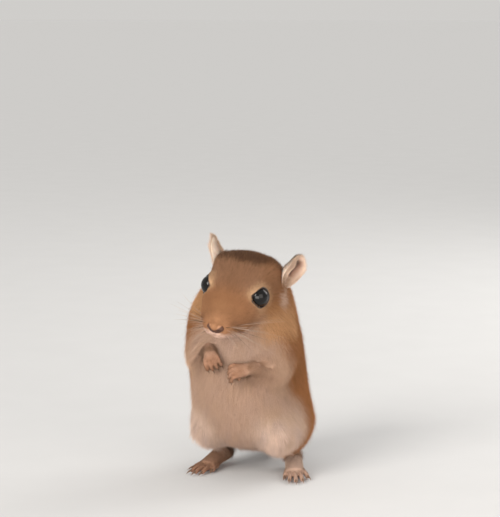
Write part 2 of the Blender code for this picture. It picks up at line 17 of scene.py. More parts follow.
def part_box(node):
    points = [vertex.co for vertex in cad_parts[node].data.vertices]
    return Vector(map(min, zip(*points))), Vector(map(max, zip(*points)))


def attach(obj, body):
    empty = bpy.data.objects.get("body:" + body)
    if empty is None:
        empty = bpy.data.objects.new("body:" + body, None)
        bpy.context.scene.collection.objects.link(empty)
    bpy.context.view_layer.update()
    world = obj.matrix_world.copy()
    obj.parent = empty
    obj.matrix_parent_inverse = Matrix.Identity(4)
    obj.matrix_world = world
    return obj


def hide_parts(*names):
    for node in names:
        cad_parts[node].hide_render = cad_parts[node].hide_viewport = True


MM = 0.001
LEFT, RIGHT = 1, -1
SIDES = (LEFT, RIGHT)
SIDE_NAME = {LEFT: "left", RIGHT: "right"}
SEED = 11

# The head's own frame has its origin between the eyes. A place on both sides is the left one's.
HEAD_AT = np.array([1.6, -18.2, 67.2])
HEAD_BOW, HEAD_TURN, HEAD_LEAN = 16, -1, 10
EYE_PLACE = (8.4, -1.0, 0.0)
EYE_RADIUS = 3.6
EYE_BULGE = 0.025  # how far the front of the eyeball stands out, as a share of its radius
EYE_LOOKS = (0.84, -0.50, 0.22)
EYE_TILT = 12  # how far the front corner is raised, in degrees
LID_OPENING = (3.1, 3.3, 3.9)  # half width, half height, reach of the front corner
NOSE_AT, NOSE_RADII = (0.15, -16.3, -6.7), (2.85, 1.5, 1.8)
EAR_ROOT, EAR_TIP = (11.7, 12.1, -3.4), (17.6, 14.8, 9.4)
EAR_FACES = (0.85, -0.50, 0.0)
EAR_HALF_WIDTH, EAR_HOLLOW, EAR_THICKNESS = 4.6, 3.4, 0.5
WHITE_MARK = (12.6, 7.7, -2.9)
CROWN_CORNER, CORNER_PUSH, CORNER_WIDTH = (8.8, 8.0, 5.8), 1.5, 3.6
WHISKER_PAD, PAD_SWELL, PAD_WIDTH = (3.0, -14.2, -7.8), 0.6, math.sqrt(3.4)
MOUTH_CUT, CLEFT_CUT, FOLD_CUT = (0.75, 0.55), (0.5, 0.5), (0.5, 0.8)  # depth and width
LIP_SWELL, LIP_GAP, LIP_WIDTH = 0.28, 1.3, 0.8  # its height, and how far from the mouth
SKIN_ON_BALL, LINING_IN_BALL, SOCKET_REACH = 0.3, 0.7, 5.2  # how the skin meets the eyeball

HEEL = {LEFT: (12.2, 10.8, 5.6), RIGHT: (-11.4, 9.4, 5.6)}
TOE_ROOTS = {LEFT: (17.9, -3.8, 2.5), RIGHT: (-14.5, -4.7, 2.5)}
# Toes from the inner one: sideways at the root, set back, length, spread in degrees
TOES = [(-2.5, 2.6, 4.6, -13), (-1.45, 0.4, 6.6, -6), (0.0, 0.0, 7.2, 0), (1.45, 0.4, 6.6, 7)]
TOES.append((2.5, 2.6, 4.8, 20))
WRIST = {LEFT: (9.6, -22.6, 41.8), RIGHT: (-6.6, -22.4, 47.0)}
FINGERTIPS = {LEFT: (0.0, -26.2, 39.9), RIGHT: (-3.6, -25.8, 42.0)}
PALM_SHARE = 0.55
FINGERS = [(-2.25, 0.86), (-0.75, 1.0), (0.75, 1.0), (2.25, 0.84)]  # sideways, share of length
FINGER_REACH, FINGER_DROP = 2.9, 2.9
TOE_CLAW, FINGER_CLAW = (2.6, 0.36), (1.6, 0.25)  # length and thickness

TAIL_LINE = [(0.8, 14, 12), (0.4, 22, 6.6), (-2.5, 33, 3.6), (-8, 46, 2.8), (-16, 61.5, 2.5)]
TAIL_LINE += [(-23, 76, 2.7), (-27, 89, 2.7), (-28, 97, 2.3)]
BRUSH_LINE = np.array(TAIL_LINE[3:] + [(-28.4, 105, 2.0), (-28.6, 116, 1.8)])
BRUSH_END, BRUSH_CORE = 54.5, 1.5  # how far along that line the tail ends, radius of its core
BRUSH_MARKS = np.linspace(0, 74, 297)  # distances along it at which the nearest spot is sought

BODY_FLESH = ["torso", "neck", "head", "tail_root", "tail_middle", "tail_end", "tail_tuft"]
PAW_FLESH = []
for _side in SIDE_NAME.values():
    BODY_FLESH += [f"upper_arm_{_side}", f"forearm_{_side}", f"thigh_{_side}", f"shank_{_side}"]
    PAW_FLESH += [f"forepaw_{_side}", f"hind_foot_{_side}"]

COAT_SOFTNESS = 0.5  # how far the tufts' normals lean to the skin's
BODY_VOXEL, PAW_VOXEL = 0.58, 0.25
HEAD_GROWTH = 0.42  # how much larger the head is drawn while the skin is remeshed
SEAM_FILL = 0.22  # each solid swells by this, so that the gaps between them close
LIMB_RINGS = 26
SKIN_CLEAR, COAT_CLEAR, CLAW_CLEAR = 0.12, 0.10, 0.14  # how far above the floor each stays
ROOT_DEPTH = 0.22  # how far under the skin a tuft starts
# Least and most of a tuft's own size, as shares of the coat's size where it grows
TUFT_LENGTH, TUFT_DEPTH, TUFT_WIDTH = (0.7, 1.2), (0.8, 1.15), (0.8, 1.25)
TINT_SPREAD = 0.06  # how much tufts beside each other differ in brightness
LOOSE_TUFTS = 0.11  # share of tufts that stand up more and stray further
CELL = 0.6  # size of the cells that find the nearest skin point
BAKE_PATCH = 0.003  # size of a tuft's patch on the baking map

# Camera: where it looks from, and the part of the animal's frame in the photo's middle
VIEW_AZIMUTH, VIEW_ELEVATION = 20.0, 8.0
VIEW_CENTRE = (0.0, 0.0, 75.3)
VIEW_DISTANCE, VIEW_WIDTH = 600.0, 172.4


def tint(*linear):
    """A finish's colour, in linear red, green and blue."""
    return np.array(linear)


GOLD, GOLD_SHADE = tint(0.365, 0.155, 0.063), tint(0.24, 0.118, 0.056)
TAN, BUFF = tint(0.52, 0.335, 0.225), tint(0.26, 0.135, 0.075)
CREAM, WARM_CREAM = tint(0.515, 0.338, 0.243), tint(0.57, 0.37, 0.23)
WHITE, LILAC = tint(0.78, 0.585, 0.475), tint(0.47, 0.35, 0.32)
RUSSET, TAWNY = tint(0.345, 0.165, 0.080), tint(0.295, 0.150, 0.082)
CHEEK, JOWL = tint(0.54, 0.275, 0.125), tint(0.60, 0.33, 0.165)
BRIDGE, MUZZLE = tint(0.45, 0.235, 0.115), tint(0.27, 0.135, 0.07)
# The second colour on the next line is painted shade, for the crease behind each whisker pad.
LIP, FOLD_SHADE = tint(0.70, 0.47, 0.37), tint(0.20, 0.09, 0.05)
CROWN, DARK_TIP = tint(0.105, 0.044, 0.019), tint(0.030, 0.019, 0.013)
BARE, EYE_RING = tint(0.42, 0.20, 0.15), tint(0.60, 0.38, 0.21)
NOSE_SKIN, NOSE_FUR = tint(0.085, 0.038, 0.024), tint(0.36, 0.18, 0.095)
LID_DARK, LID_BROWN = tint(0.020, 0.012, 0.010), tint(0.09, 0.05, 0.035)
EAR_INSIDE, EAR_RIM = tint(0.44, 0.29, 0.215), tint(0.76, 0.57, 0.46)
# The second colour on the next line is painted shade, for the slit behind the ear's front roll.
EAR_ROLL, EAR_SLIT_SHADE = tint(0.62, 0.45, 0.34), tint(0.060, 0.032, 0.020)
EAR_BACK, EAR_EDGE = tint(0.60, 0.41, 0.28), tint(0.84, 0.66, 0.54)
EAR_DOWN = tint(0.72, 0.54, 0.42)
DARK_WHISKER = tint(0.06, 0.04, 0.03), tint(0.40, 0.30, 0.23)
PALE_WHISKER = tint(0.30, 0.21, 0.16), tint(0.55, 0.43, 0.34)


def rotation(degrees, axis):
    """The matrix of a turn by so many degrees about one axis."""
    return Matrix.Rotation(math.radians(degrees), 3, axis)


HEAD_ROTATION = rotation(HEAD_LEAN, "Y") @ rotation(HEAD_TURN, "Z") @ rotation(HEAD_BOW, "X")
HEAD_ROTATION = np.array(HEAD_ROTATION)


def from_head(points):
    """Points of the head's own frame, in the animal's frame."""
    return np.asarray(points, float) @ HEAD_ROTATION.T + HEAD_AT


def to_head(points):
    """Points of the animal's frame, in the head's own frame."""
    return (np.asarray(points, float) - HEAD_AT) @ HEAD_ROTATION


def on_side(value, side):
    """A place or way that is given for the left side, on the given side."""
    return np.array(value, float) * (side, 1, 1)


def far(vectors):
    """How long each vector is."""
    return np.linalg.norm(vectors, axis=-1)


def unit(vectors):
    """Each vector's direction, at length 1."""
    vectors = np.asarray(vectors, float)
    return vectors / np.maximum(np.linalg.norm(vectors, axis=-1, keepdims=True), 1e-9)


def ramp(low, high, values):
    """0 at low, 1 at high, and a smooth rise between. It falls where low is over high."""
    t = np.clip((values - low) / (high - low), 0, 1)
    return t * t * (3 - 2 * t)


def bell(values, width, power=2):
    """1 at 0, and falling away to both sides over the width."""
    return np.exp(-((values / width) ** power))


def lump(points, centre, size):
    """1 at the centre, and falling away over a size, which may differ from axis to axis."""
    return np.exp(-(((points - centre) / size) ** 2).sum(-1))


def mix(first, second, share):
    """The first at share 0, the second at 1, and an even blend between."""
    share = np.asarray(share)[..., None]
    return first * (1 - share) + second * share


def layered(base, *layers):
    """A colour with others laid over it in turn, each by its share."""
    for colour, share in layers:
        base = mix(base, colour, share)
    return base


def ripple(points, size, seed):
    """Soft noise from -1 to 1: the mean of a few sine waves in seeded directions."""
    chance = np.random.default_rng(seed)
    waves = unit(chance.normal(size=(7, 3))) * chance.uniform(0.7, 1.5, (7, 1)) / size
    phases = chance.uniform(0, 2 * math.pi, 7)
    return np.sin(points @ waves.T * 2 * math.pi + phases).mean(axis=1) * 1.9


def full_turn(count):
    """Even angles once round."""
    return 2 * math.pi * np.arange(count) / count


def foot_axes(side):
    """A hind foot's heel, the root of its toes, and the ways forward, out and up."""
    heel, root = np.array(HEEL[side]), np.array(TOE_ROOTS[side])
    forward = unit((root - heel) * (1, 1, 0))
    out = np.cross((0, 0, -1), forward) * -side
    return heel, root, np.array([forward, out, (0, 0, 1)])


def toe_lines(side):
    """Where each toe starts on the floor, the way it points, and its length."""
    _, root, (forward, out, _) = foot_axes(side)
    for aside, set_back, length, spread in TOES:
        start = (root + out * aside * 0.95 - forward * (set_back + 1.2)) * (1, 1, 0)
        yield start, np.array(rotation(spread * side, "Z")) @ forward, length


def paw_axes(side):
    """A forepaw's palm end, the palm's length, and the ways ahead, across and inward."""
    wrist, tips = np.array(WRIST[side]), np.array(FINGERTIPS[side])
    ahead = unit(tips - wrist)
    inward = np.array([0.0, 0.75, -0.65])
    inward = unit(inward - ahead * (inward @ ahead))
    palm = PALM_SHARE * far(tips - wrist)
    return wrist + ahead * palm, palm, np.array([ahead, np.cross(ahead, inward), inward])


def bone_rows():
    """The lines that the coat follows.

    Each has a group, a start, an end, the radius of flesh round it, the way its coat lies
    (None for along the line), and the coat's length, depth and tuft width at both ends.
    """
    rows = []

    def chain(group, points, reaches, lies, lengths, depths, widths):
        """Adds one row for each stretch between neighbouring points of a line."""
        for k, reach in enumerate(reaches):
            pair = slice(k, k + 2)
            coat = (lengths[pair], depths[pair], widths[pair])
            rows.append((group, *points[pair], reach, lies[k], *coat))

    line = from_head([(0, -15.5, -6.5), (0, -7, -5), (0, 6, -4), (0, 17, -3.5)])
    lies = np.array([(0, 1, 0), (0, 1, 0.05), (0, 1, -0.1)]) @ HEAD_ROTATION.T
    coat = (0.9, 1.8, 3.2, 5.5), (0.22, 0.42, 0.85, 1.6), (0.11, 0.13, 0.15, 0.16)
    chain("head", line, (5.5, 10.5, 13.0), lies, *coat)
    line = [(-0.9, -3, 56), (-0.8, -2, 50), (0.4, 0, 28), (1, 3, 14)]
    lies = [(0, 0.2, -1), (0, 0.12, -1), (0, 0.2, -1)]
    coat = (5.5, 6.5, 7.5, 6.5), (1.8, 2.0, 2.2, 2.0), (0.15, 0.16, 0.16, 0.16)
    chain("body", line, (17, 20, 20), lies, *coat)
    joints = {
        "shoulder": {LEFT: (12.6, -6, 51), RIGHT: (-13.3, -6, 52)},
        "elbow": {LEFT: (15.4, -13.2, 39.8), RIGHT: (-13.8, -12.8, 43.2)},
        "hip": {LEFT: (12.2, 9, 22.5), RIGHT: (-10.2, 9, 22.5)},
        "knee": {LEFT: (13.8, -11, 17.2), RIGHT: (-10.8, -11.2, 17.8)},
        "ankle": {LEFT: (13.4, 7.2, 6.6), RIGHT: (-12.2, 5.8, 6.6)},
    }
    for side in SIDES:
        shoulder, elbow, hip, knee, ankle = [places[side] for places in joints.values()]
        wrist, tips, ahead = np.array(WRIST[side]), np.array(FINGERTIPS[side]), paw_axes(side)[2][0]
        palm = wrist + ahead * 1.2
        chain("arm", (shoulder, elbow), [5.4], [(0, -0.1, -1)], (5.5, 5.0), (1.6, 1.3), (0.15, 0.15))
        chain("arm", (elbow, wrist), [3.4], [None], (4.0, 2.6), (1.1, 0.6), (0.14, 0.12))
        chain("paw", (wrist - ahead * 3, palm), [2.0], [None], (3.4, 1.6), (0.8, 0.25), (0.12, 0.09))
        chain("paw", (palm, tips - (0, 0, 1)), [2.3], [None], (1.4, 0.6), (0.22, 0.10), (0.09, 0.07))
        heel, root, (forward, _, _) = foot_axes(side)
        down, toes = unit(forward - (0, 0, 0.9)), root + forward * 7
        chain("haunch", (hip, knee), [11], [(0, 0.25, -1)], (7.0, 6.0), (2.0, 1.8), (0.16, 0.16))
        chain("shank", (knee, ankle), [3.6], [(0, 0.15, -1)], (4.0, 2.6), (1.1, 0.6), (0.14, 0.13))
        chain("foot", (heel, root), [2.8], [down], (3.0, 1.6), (0.6, 0.25), (0.12, 0.09))
        chain("foot", (root, toes), [2.4], [forward], (1.1, 0.7), (0.18, 0.10), (0.08, 0.07))
    coat = (5.0, 3.6, 3.2, 3.6, 4.6), (1.5, 1.1, 0.8, 0.75, 0.9), [0.14] * 5
    chain("tail", TAIL_LINE[:5], (6.0, 4.6, 3.6, 3.0), [None] * 4, *coat)
    coat = (4.6, 6.5, 8.5, 8.0), (0.9, 1.3, 1.6, 1.2), [0.19] * 4
    chain("tuft", TAIL_LINE[4:], (2.7, 2.8, 2.4), [None] * 3, *coat)
    return rows


class Bones:
    """The bones as arrays, and what the coat is like at any points near them."""

    def __init__(self):
        """One array for each column of the rows. A lie of None becomes the bone's direction."""
        group, start, end, reach, lie, *coat = zip(*bone_rows())
        self.group, self.reach = np.array(group), np.array(reach, float)
        self.start, self.end = np.array(start, float), np.array(end, float)
        self.span = self.end - self.start
        self.lie = unit([along if way is None else way for along, way in zip(self.span, lie)])
        self.coat = np.array(coat, float).transpose(1, 0, 2)

    def near(self, points):
        """Weight of each bone at each point, and the share of its line nearest to it.

        The weight falls with the eighth power of the distance counted in the bone's radius.
        """
        away = points[:, None] - self.start
        share = np.clip((away * self.span).sum(-1) / (self.span**2).sum(-1), 0, 1)
        gap = far(away - share[..., None] * self.span) / self.reach
        weight = 1 / np.maximum(gap, 0.15) ** 8
        return weight / weight.sum(axis=1, keepdims=True), share


BONES = Bones()


def frame_shift():
    """Where the animal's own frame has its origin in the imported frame, in millimetres."""
    eyes = [np.mean(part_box(f"eye_{side}"), axis=0) for side in SIDE_NAME.values()]
    return np.mean(eyes, axis=0) / MM - from_head((0, *EYE_PLACE[1:]))


def placed(name, data):
    """A new object in the scene that holds the data."""
    made = bpy.data.objects.new(name, data)
    bpy.context.scene.collection.objects.link(made)
    return made


def mesh_piece(name, points, faces, material, slot):
    """A smooth piece from points in millimetres and faces that have equally many corners."""
    mesh = bpy.data.meshes.new(name)
    mesh.vertices.add(len(points))
    mesh.vertices.foreach_set("co", ((points + SHIFT) * MM).astype(np.float32).ravel())
    mesh.loops.add(faces.size)
    mesh.loops.foreach_set("vertex_index", faces.astype(np.int32).ravel())
    mesh.polygons.add(len(faces))
    starts = np.arange(len(faces), dtype=np.int32) * faces.shape[1]
    mesh.polygons.foreach_set("loop_start", starts)
    mesh.update(calc_edges=True)
    mesh.shade_smooth()
    mesh.materials.append(material)
    piece = placed(name, mesh)
    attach(piece, "root")
    return piece


def read_values(items, label, width, kind=np.float32):
    """One property of all a mesh's points, corners or triangles, a row for each."""
    values = np.empty(len(items) * width, kind)
    items.foreach_get(label, values)
    return values.reshape(-1, width)


def paint(piece, colours):
    """Stores a colour for each point of a piece as an attribute that its material reads."""
    layer = piece.data.attributes.new("coat", "FLOAT_COLOR", "POINT")
    rgba = np.ones((len(colours), 4), np.float32)
    rgba[:, :3] = colours
    layer.data.foreach_set("color", rgba.ravel())


def map_piece(piece, places):
    """The UV map for baking, from a place for each point."""
    layer = piece.data.uv_layers.new(name="OFBake")
    corner = read_values(piece.data.loops, "vertex_index", 1, np.int32)[:, 0]
    layer.data.foreach_set("uv", places[corner].astype(np.float32).ravel())


def map_tufts(piece, places, patch):
    """Gives each tuft the same small patch of the map, moved to a place of its own."""
    map_piece(piece, (places[:, None] + np.array(patch)[None] * BAKE_PATCH).reshape(-1, 2))


def ring_faces(rings, spokes, closed=True):
    """Triangles between rings of points, and two fans from the points that follow the rings."""
    ring, k = np.meshgrid(np.arange(rings - 1), np.arange(spokes), indexing="ij")
    a, b = ring * spokes + k, ring * spokes + (k + 1) % spokes
    c, d = b + spokes, a + spokes
    faces = [np.stack([a, c, b], -1).reshape(-1, 3), np.stack([a, d, c], -1).reshape(-1, 3)]
    if closed:
        k, first, top = np.arange(spokes), rings * spokes, (rings - 1) * spokes
        after = (k + 1) % spokes
        faces.append(np.stack([np.full(spokes, first), k, after], 1))
        faces.append(np.stack([np.full(spokes, first + 1), top + after, top + k], 1))
    return np.vstack(faces)


def tube(path, across, upward, wide, high, sides):
    """A closed tube: ovals carried along a path, with a point in the middle of each end."""
    turn = full_turn(sides)[:, None]
    rim = (across * wide[:, None])[:, None] * np.cos(turn)
    rim = rim + (upward * high[:, None])[:, None] * np.sin(turn)
    points = (path[:, None] + rim).reshape(-1, 3)
    return np.vstack([points, path[:1], path[-1:]]), ring_faces(len(path), sides)


def round_tube(path, radii, sides):
    """A closed tube of circles of the given radii, each across the path."""
    ahead = unit(np.gradient(path, axis=0))
    across = unit(np.cross(ahead, (0.13, 0.21, 0.97)))
    return tube(path, across, np.cross(across, ahead), radii, radii, sides)


def unit_ball(hoops, spokes):
    """A ball of radius 1 in rings about its first axis, from the positive end."""
    lat, lon = np.meshgrid(math.pi * np.arange(1, hoops) / hoops, full_turn(spokes), indexing="ij")
    grid = np.stack([np.cos(lat), np.sin(lat) * np.cos(lon), np.sin(lat) * np.sin(lon)], -1)
    points = np.vstack([grid.reshape(-1, 3), (1, 0, 0), (-1, 0, 0)])
    return points, ring_faces(hoops - 1, spokes)


def joined(shapes):
    """Several (points, faces) as one."""
    points, faces = zip(*shapes)
    counts = np.cumsum([0] + [len(some) for some in points])
    return np.vstack(points), np.vstack([some + count for some, count in zip(faces, counts)])


def point_normals(points, faces):
    """The outward direction at each point: the mean of its faces', larger ones counting more."""
    first, second, third, last = (points[faces[:, k]] for k in (0, 1, 2, -1))
    flat = np.cross(third - first, last - second)
    outward = np.zeros_like(points)
    for corner in faces.T:
        for axis in range(3):
            outward[:, axis] += np.bincount(corner, flat[:, axis], len(points))
    return unit(outward)


def remeshed(points, faces, voxel):
    """Closed forms that overlap, made one by a voxel remesh: points and four-sided faces."""
    mesh = bpy.data.meshes.new("loose_forms")
    mesh.from_pydata((points * MM).tolist(), [], faces.tolist())
    source = placed("loose_forms", mesh)
    modifier = source.modifiers.new("one_skin", "REMESH")
    modifier.mode = "VOXEL"
    modifier.voxel_size = voxel * MM
    evaluated = source.evaluated_get(bpy.context.evaluated_depsgraph_get())
    made = evaluated.to_mesh()
    out = read_values(made.vertices, "co", 3)
    quads = read_values(made.loops, "vertex_index", 1, np.int32).reshape(-1, 4)
    evaluated.to_mesh_clear()
    bpy.data.objects.remove(source)
    return out.astype(float) / MM, quads


def enlarged(points, undo=False):
    """Draws all above the shoulders larger, or undoes it.

    An even remesh in between gives the head finer faces. The growth rises smoothly with the
    height, is added up along it, and is the same to the sides.
    """
    z = np.linspace(-10, 110, 1201)
    growth = 1 + HEAD_GROWTH * ramp(46, 58, z)
    tall = z[0] + np.append(0, np.cumsum((growth[1:] + growth[:-1]) / 2 * np.diff(z)))
    height = np.interp(points[:, 2], tall, z) if undo else points[:, 2]
    factor = np.interp(height, z, growth)[:, None]
    middle = HEAD_AT[:2] + (0, 4)
    flat = points[:, :2] - middle
    flat = flat / factor if undo else flat * factor
    return np.column_stack([flat + middle, height if undo else np.interp(height, z, tall)])


def skin_shell():
    """The swollen solids of flesh as one closed surface, and each paw and foot as a finer one.

    Gives points, four-sided faces and which points are of the paws and feet.
    """
    forms = []
    for name in BODY_FLESH:
        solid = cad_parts[name].data
        here = read_values(solid.vertices, "co", 3).astype(float) / MM - SHIFT
        solid.calc_loop_triangles()
        corners = read_values(solid.loop_triangles, "vertices", 3, np.int32)
        _, first, same = np.unique(np.round(here, 3), axis=0, return_index=True, return_inverse=True)
        here, corners = here[first], same.reshape(-1)[corners]
        forms.append((here + point_normals(here, corners) * SEAM_FILL, corners))
    points, faces = joined(forms)
    body, quads = remeshed(enlarged(points), faces, BODY_VOXEL)
    shells = [(enlarged(body, undo=True), quads)]
    for side in SIDES:
        for forms in (paw_forms(side), foot_forms(side)):
            shells.append(remeshed(*joined(forms), PAW_VOXEL))
    points, quads = joined(shells)
    return points, quads, np.arange(len(points)) >= len(body)


def smooth_line(rows, at):
    """The smooth curve through the given rows, at places counted in rows."""
    rows = np.asarray(rows, float)
    padded = np.vstack([2 * rows[0] - rows[1], rows, 2 * rows[-1] - rows[-2]])
    first = np.clip(np.asarray(at).astype(int), 0, len(rows) - 2)
    t = (at - first)[:, None]
    a, b, c, d = (padded[first + k] for k in range(4))
    bend = 2 * a - 5 * b + 4 * c - d
    return 0.5 * (2 * b + (c - a) * t + bend * t**2 + (3 * b - a - 3 * c + d) * t**3)


def limb(origin, axes, rows, up, sides=22, blunt=0.14):
    """A closed limb: ovals carried along a smooth line and rounded off at both ends.

    A row holds a place along each of the three axes from the origin, the oval's half width,
    and its half height in the direction up. The ovals are closest at the ends.
    """
    rows = np.array(rows, float)
    rows = np.column_stack([origin + rows[:, :3] @ axes, rows[:, 3:]])
    share = (1 - np.cos(math.pi * np.arange(LIMB_RINGS) / (LIMB_RINGS - 1))) / 2
    rows = smooth_line(rows, share * (len(rows) - 1))
    end = np.clip(np.minimum(share, 1 - share) / blunt, 0, 1)
    wide, high = rows[:, 3:].T * np.sqrt(1 - (1 - end) ** 2) + 0.01
    ahead = unit(np.gradient(rows[:, :3], axis=0))
    across = unit(np.cross(ahead, up))
    return tube(rows[:, :3], across, np.cross(across, ahead), wide, high, sides)


def paw_forms(side):
    """A forepaw's palm, thumb and four hanging fingers, as closed forms that overlap."""
    origin, palm, axes = paw_axes(side)
    rows = [
        (-palm - 2.6, 0, 0, 1.7, 1.6),
        (-palm + 0.6, 0, 0, 1.95, 1.7),
        (-palm / 2 + 0.4, 0, 0, 2.4, 1.75),
        (0, 0, 0, 2.7, 1.55),
        (0.9, 0, 0, 2.3, 1.1),
    ]
    forms = [limb(origin, axes, rows, axes[2])]
    for aside, share in FINGERS:
        reach = FINGER_REACH * share
        rows = [
            (-1.6, 0.8 * aside, 0, 0.66, 0.66),
            (0.9, aside, -0.5, 0.76, 0.74),
            (0.80 * reach, 1.08 * aside, 0.3, 0.62, 0.62),
            (0.95 * reach, 1.1 * aside, 1.5 * share, 0.60, 0.62),
            (0.90 * reach, 1.1 * aside, FINGER_DROP * share, 0.60, 0.58),
        ]
        forms.append(limb(origin, axes, rows, axes[1], sides=14))
    rows = [(-0.6, 2.3 * side, 1.1, 0.6, 0.6), (0, 2.3 * side, 2.0, 0.5, 0.5)]
    forms.append(limb(origin, axes, rows, axes[1], sides=12, blunt=0.4))
    return forms


def foot_forms(side):
    """A hind foot's sole and five toes with their pads, as closed forms that overlap."""
    heel, root, axes = foot_axes(side)
    reach, rise = (root - heel) @ axes[0], (root - heel)[2]
    rows = [
        (-1.0, 0, -1.8, 2.0, 2.3),
        (3.5, 0, -1.4, 2.5, 3.0),
        (8.5, 0, -2.4, 2.8, 2.4),
        (reach - 1.5, 0, rise - 0.3, 3.1, 1.85),
        (reach + 0.8, 0, rise - 0.7, 2.9, 1.35),
    ]
    forms = [limb(heel, axes, rows, axes[2])]
    for start, ahead, length in toe_lines(side):
        rows = [
            (0, 0, 1.6, 0.85, 0.9),
            (0.45 * length, 0, 1.75, 0.80, 0.92),
            (0.78 * length, 0, 1.65, 0.70, 0.78),
            (length + 0.4, 0, 1.1, 0.72, 0.72),
            (length + 1.3, 0, 0.85, 0.60, 0.62),
        ]
        forms.append(limb(start, np.array([ahead, *axes[1:]]), rows, axes[2], sides=14))
    return forms


def claw_lines():
    """Root, heading, droop and size of every claw, at the ends of toes and fingers."""
    for side in SIDES:
        for start, ahead, length in toe_lines(side):
            yield start + ahead * (length + 1.2) + (0, 0, 1.25), ahead, (0, 0, -1), TOE_CLAW
        origin, _, axes = paw_axes(side)
        for aside, share in FINGERS:
            place = (FINGER_REACH * 0.9 * share + 0.2, 1.1 * aside, FINGER_DROP * share - 0.2)
            yield origin + np.array(place) @ axes, unit(axes[2] + axes[0] * 0.25), axes[2], FINGER_CLAW


def edges_of(quads):
    """The edges of faces with four corners, each edge once."""
    ends = np.vstack([quads[:, [k, (k + 1) % 4]] for k in range(4)])
    return np.unique(np.sort(ends, axis=1), axis=0)


def relaxed(values, edges, strength, times):
    """Each point's values move towards the mean of its neighbours', by its strength."""
    count = np.bincount(edges.ravel(), minlength=len(values))[:, None]
    for _ in range(times):
        total = np.zeros_like(values)
        for one, other in (edges.T, edges.T[::-1]):
            for axis in range(values.shape[1]):
                total[:, axis] += np.bincount(one, values[other, axis], len(values))
        values = values + strength[:, None] * (total / count - values)
    return values


def eye_place(side):
    """The middle of one eye, in the head's frame."""
    return on_side(EYE_PLACE, side)


def eye_axes(side):
    """Outward, along the opening and upward axes of an eye, in the head's frame."""
    outward = unit(on_side(EYE_LOOKS, side))
    level = unit(np.cross((0, 0, 1), outward)) * side
    upright = unit(np.cross(outward, level)) * side
    tilt = math.radians(EYE_TILT)
    along = level * math.cos(tilt) - upright * math.sin(tilt)
    return np.array([outward, along, upright * math.cos(tilt) + level * math.sin(tilt)])


def eye_local(points, side):
    """Points as (outward, along, upward) of one eye. Along points to the eye's back corner."""
    return (to_head(points) - eye_place(side)) @ eye_axes(side).T


def lid_squeeze(along):
    """How the opening's height narrows to its front corner, as a share."""
    return 1 - 0.38 * np.clip(-along / LID_OPENING[2], 0, 1) ** 1.5


def lid_radius(local):
    """How far out a point is, counted in the size of the lid's opening: 1 on its edge."""
    along, upward = local[:, 1], local[:, 2]
    half_width, half_height, corner = LID_OPENING
    reach = np.where(along < 0, corner, half_width)
    return np.hypot(along / reach, upward / (half_height * lid_squeeze(along)))


def nearest_gap(points, line):
    """Distance from each point to the nearest of a line's points."""
    return np.min([far(points - spot) for spot in line], axis=0)


def mouth_gap(head):
    """Distance to the line of the mouth, which runs back and down to both corners."""
    t = np.linspace(-1, 1, 41)
    y, z = -15.6 + 5.6 * np.abs(t) ** 1.6, -10.2 - 1.5 * np.abs(t) ** 1.3
    return nearest_gap(head, np.stack([5.0 * t, y, z], 1))


def fold_gap(head):
    """Distance to the fold behind the whisker pad on either side."""
    rows = [(5.2, -13.6, -5.2), (5.9, -12.2, -7.4), (6.3, -10.4, -9.6), (6.6, -8.0, -11.6)]
    line = smooth_line(rows, np.linspace(0, 3, 25))
    return np.minimum(nearest_gap(head, line), nearest_gap(on_side(head, RIGHT), line))


def azimuth_of(points):
    """Angle round the trunk in degrees, 0 in front and 90 on the animal's left."""
    return np.degrees(np.arctan2(points[:, 0] - 0.3, -(points[:, 1] + 0.5)))


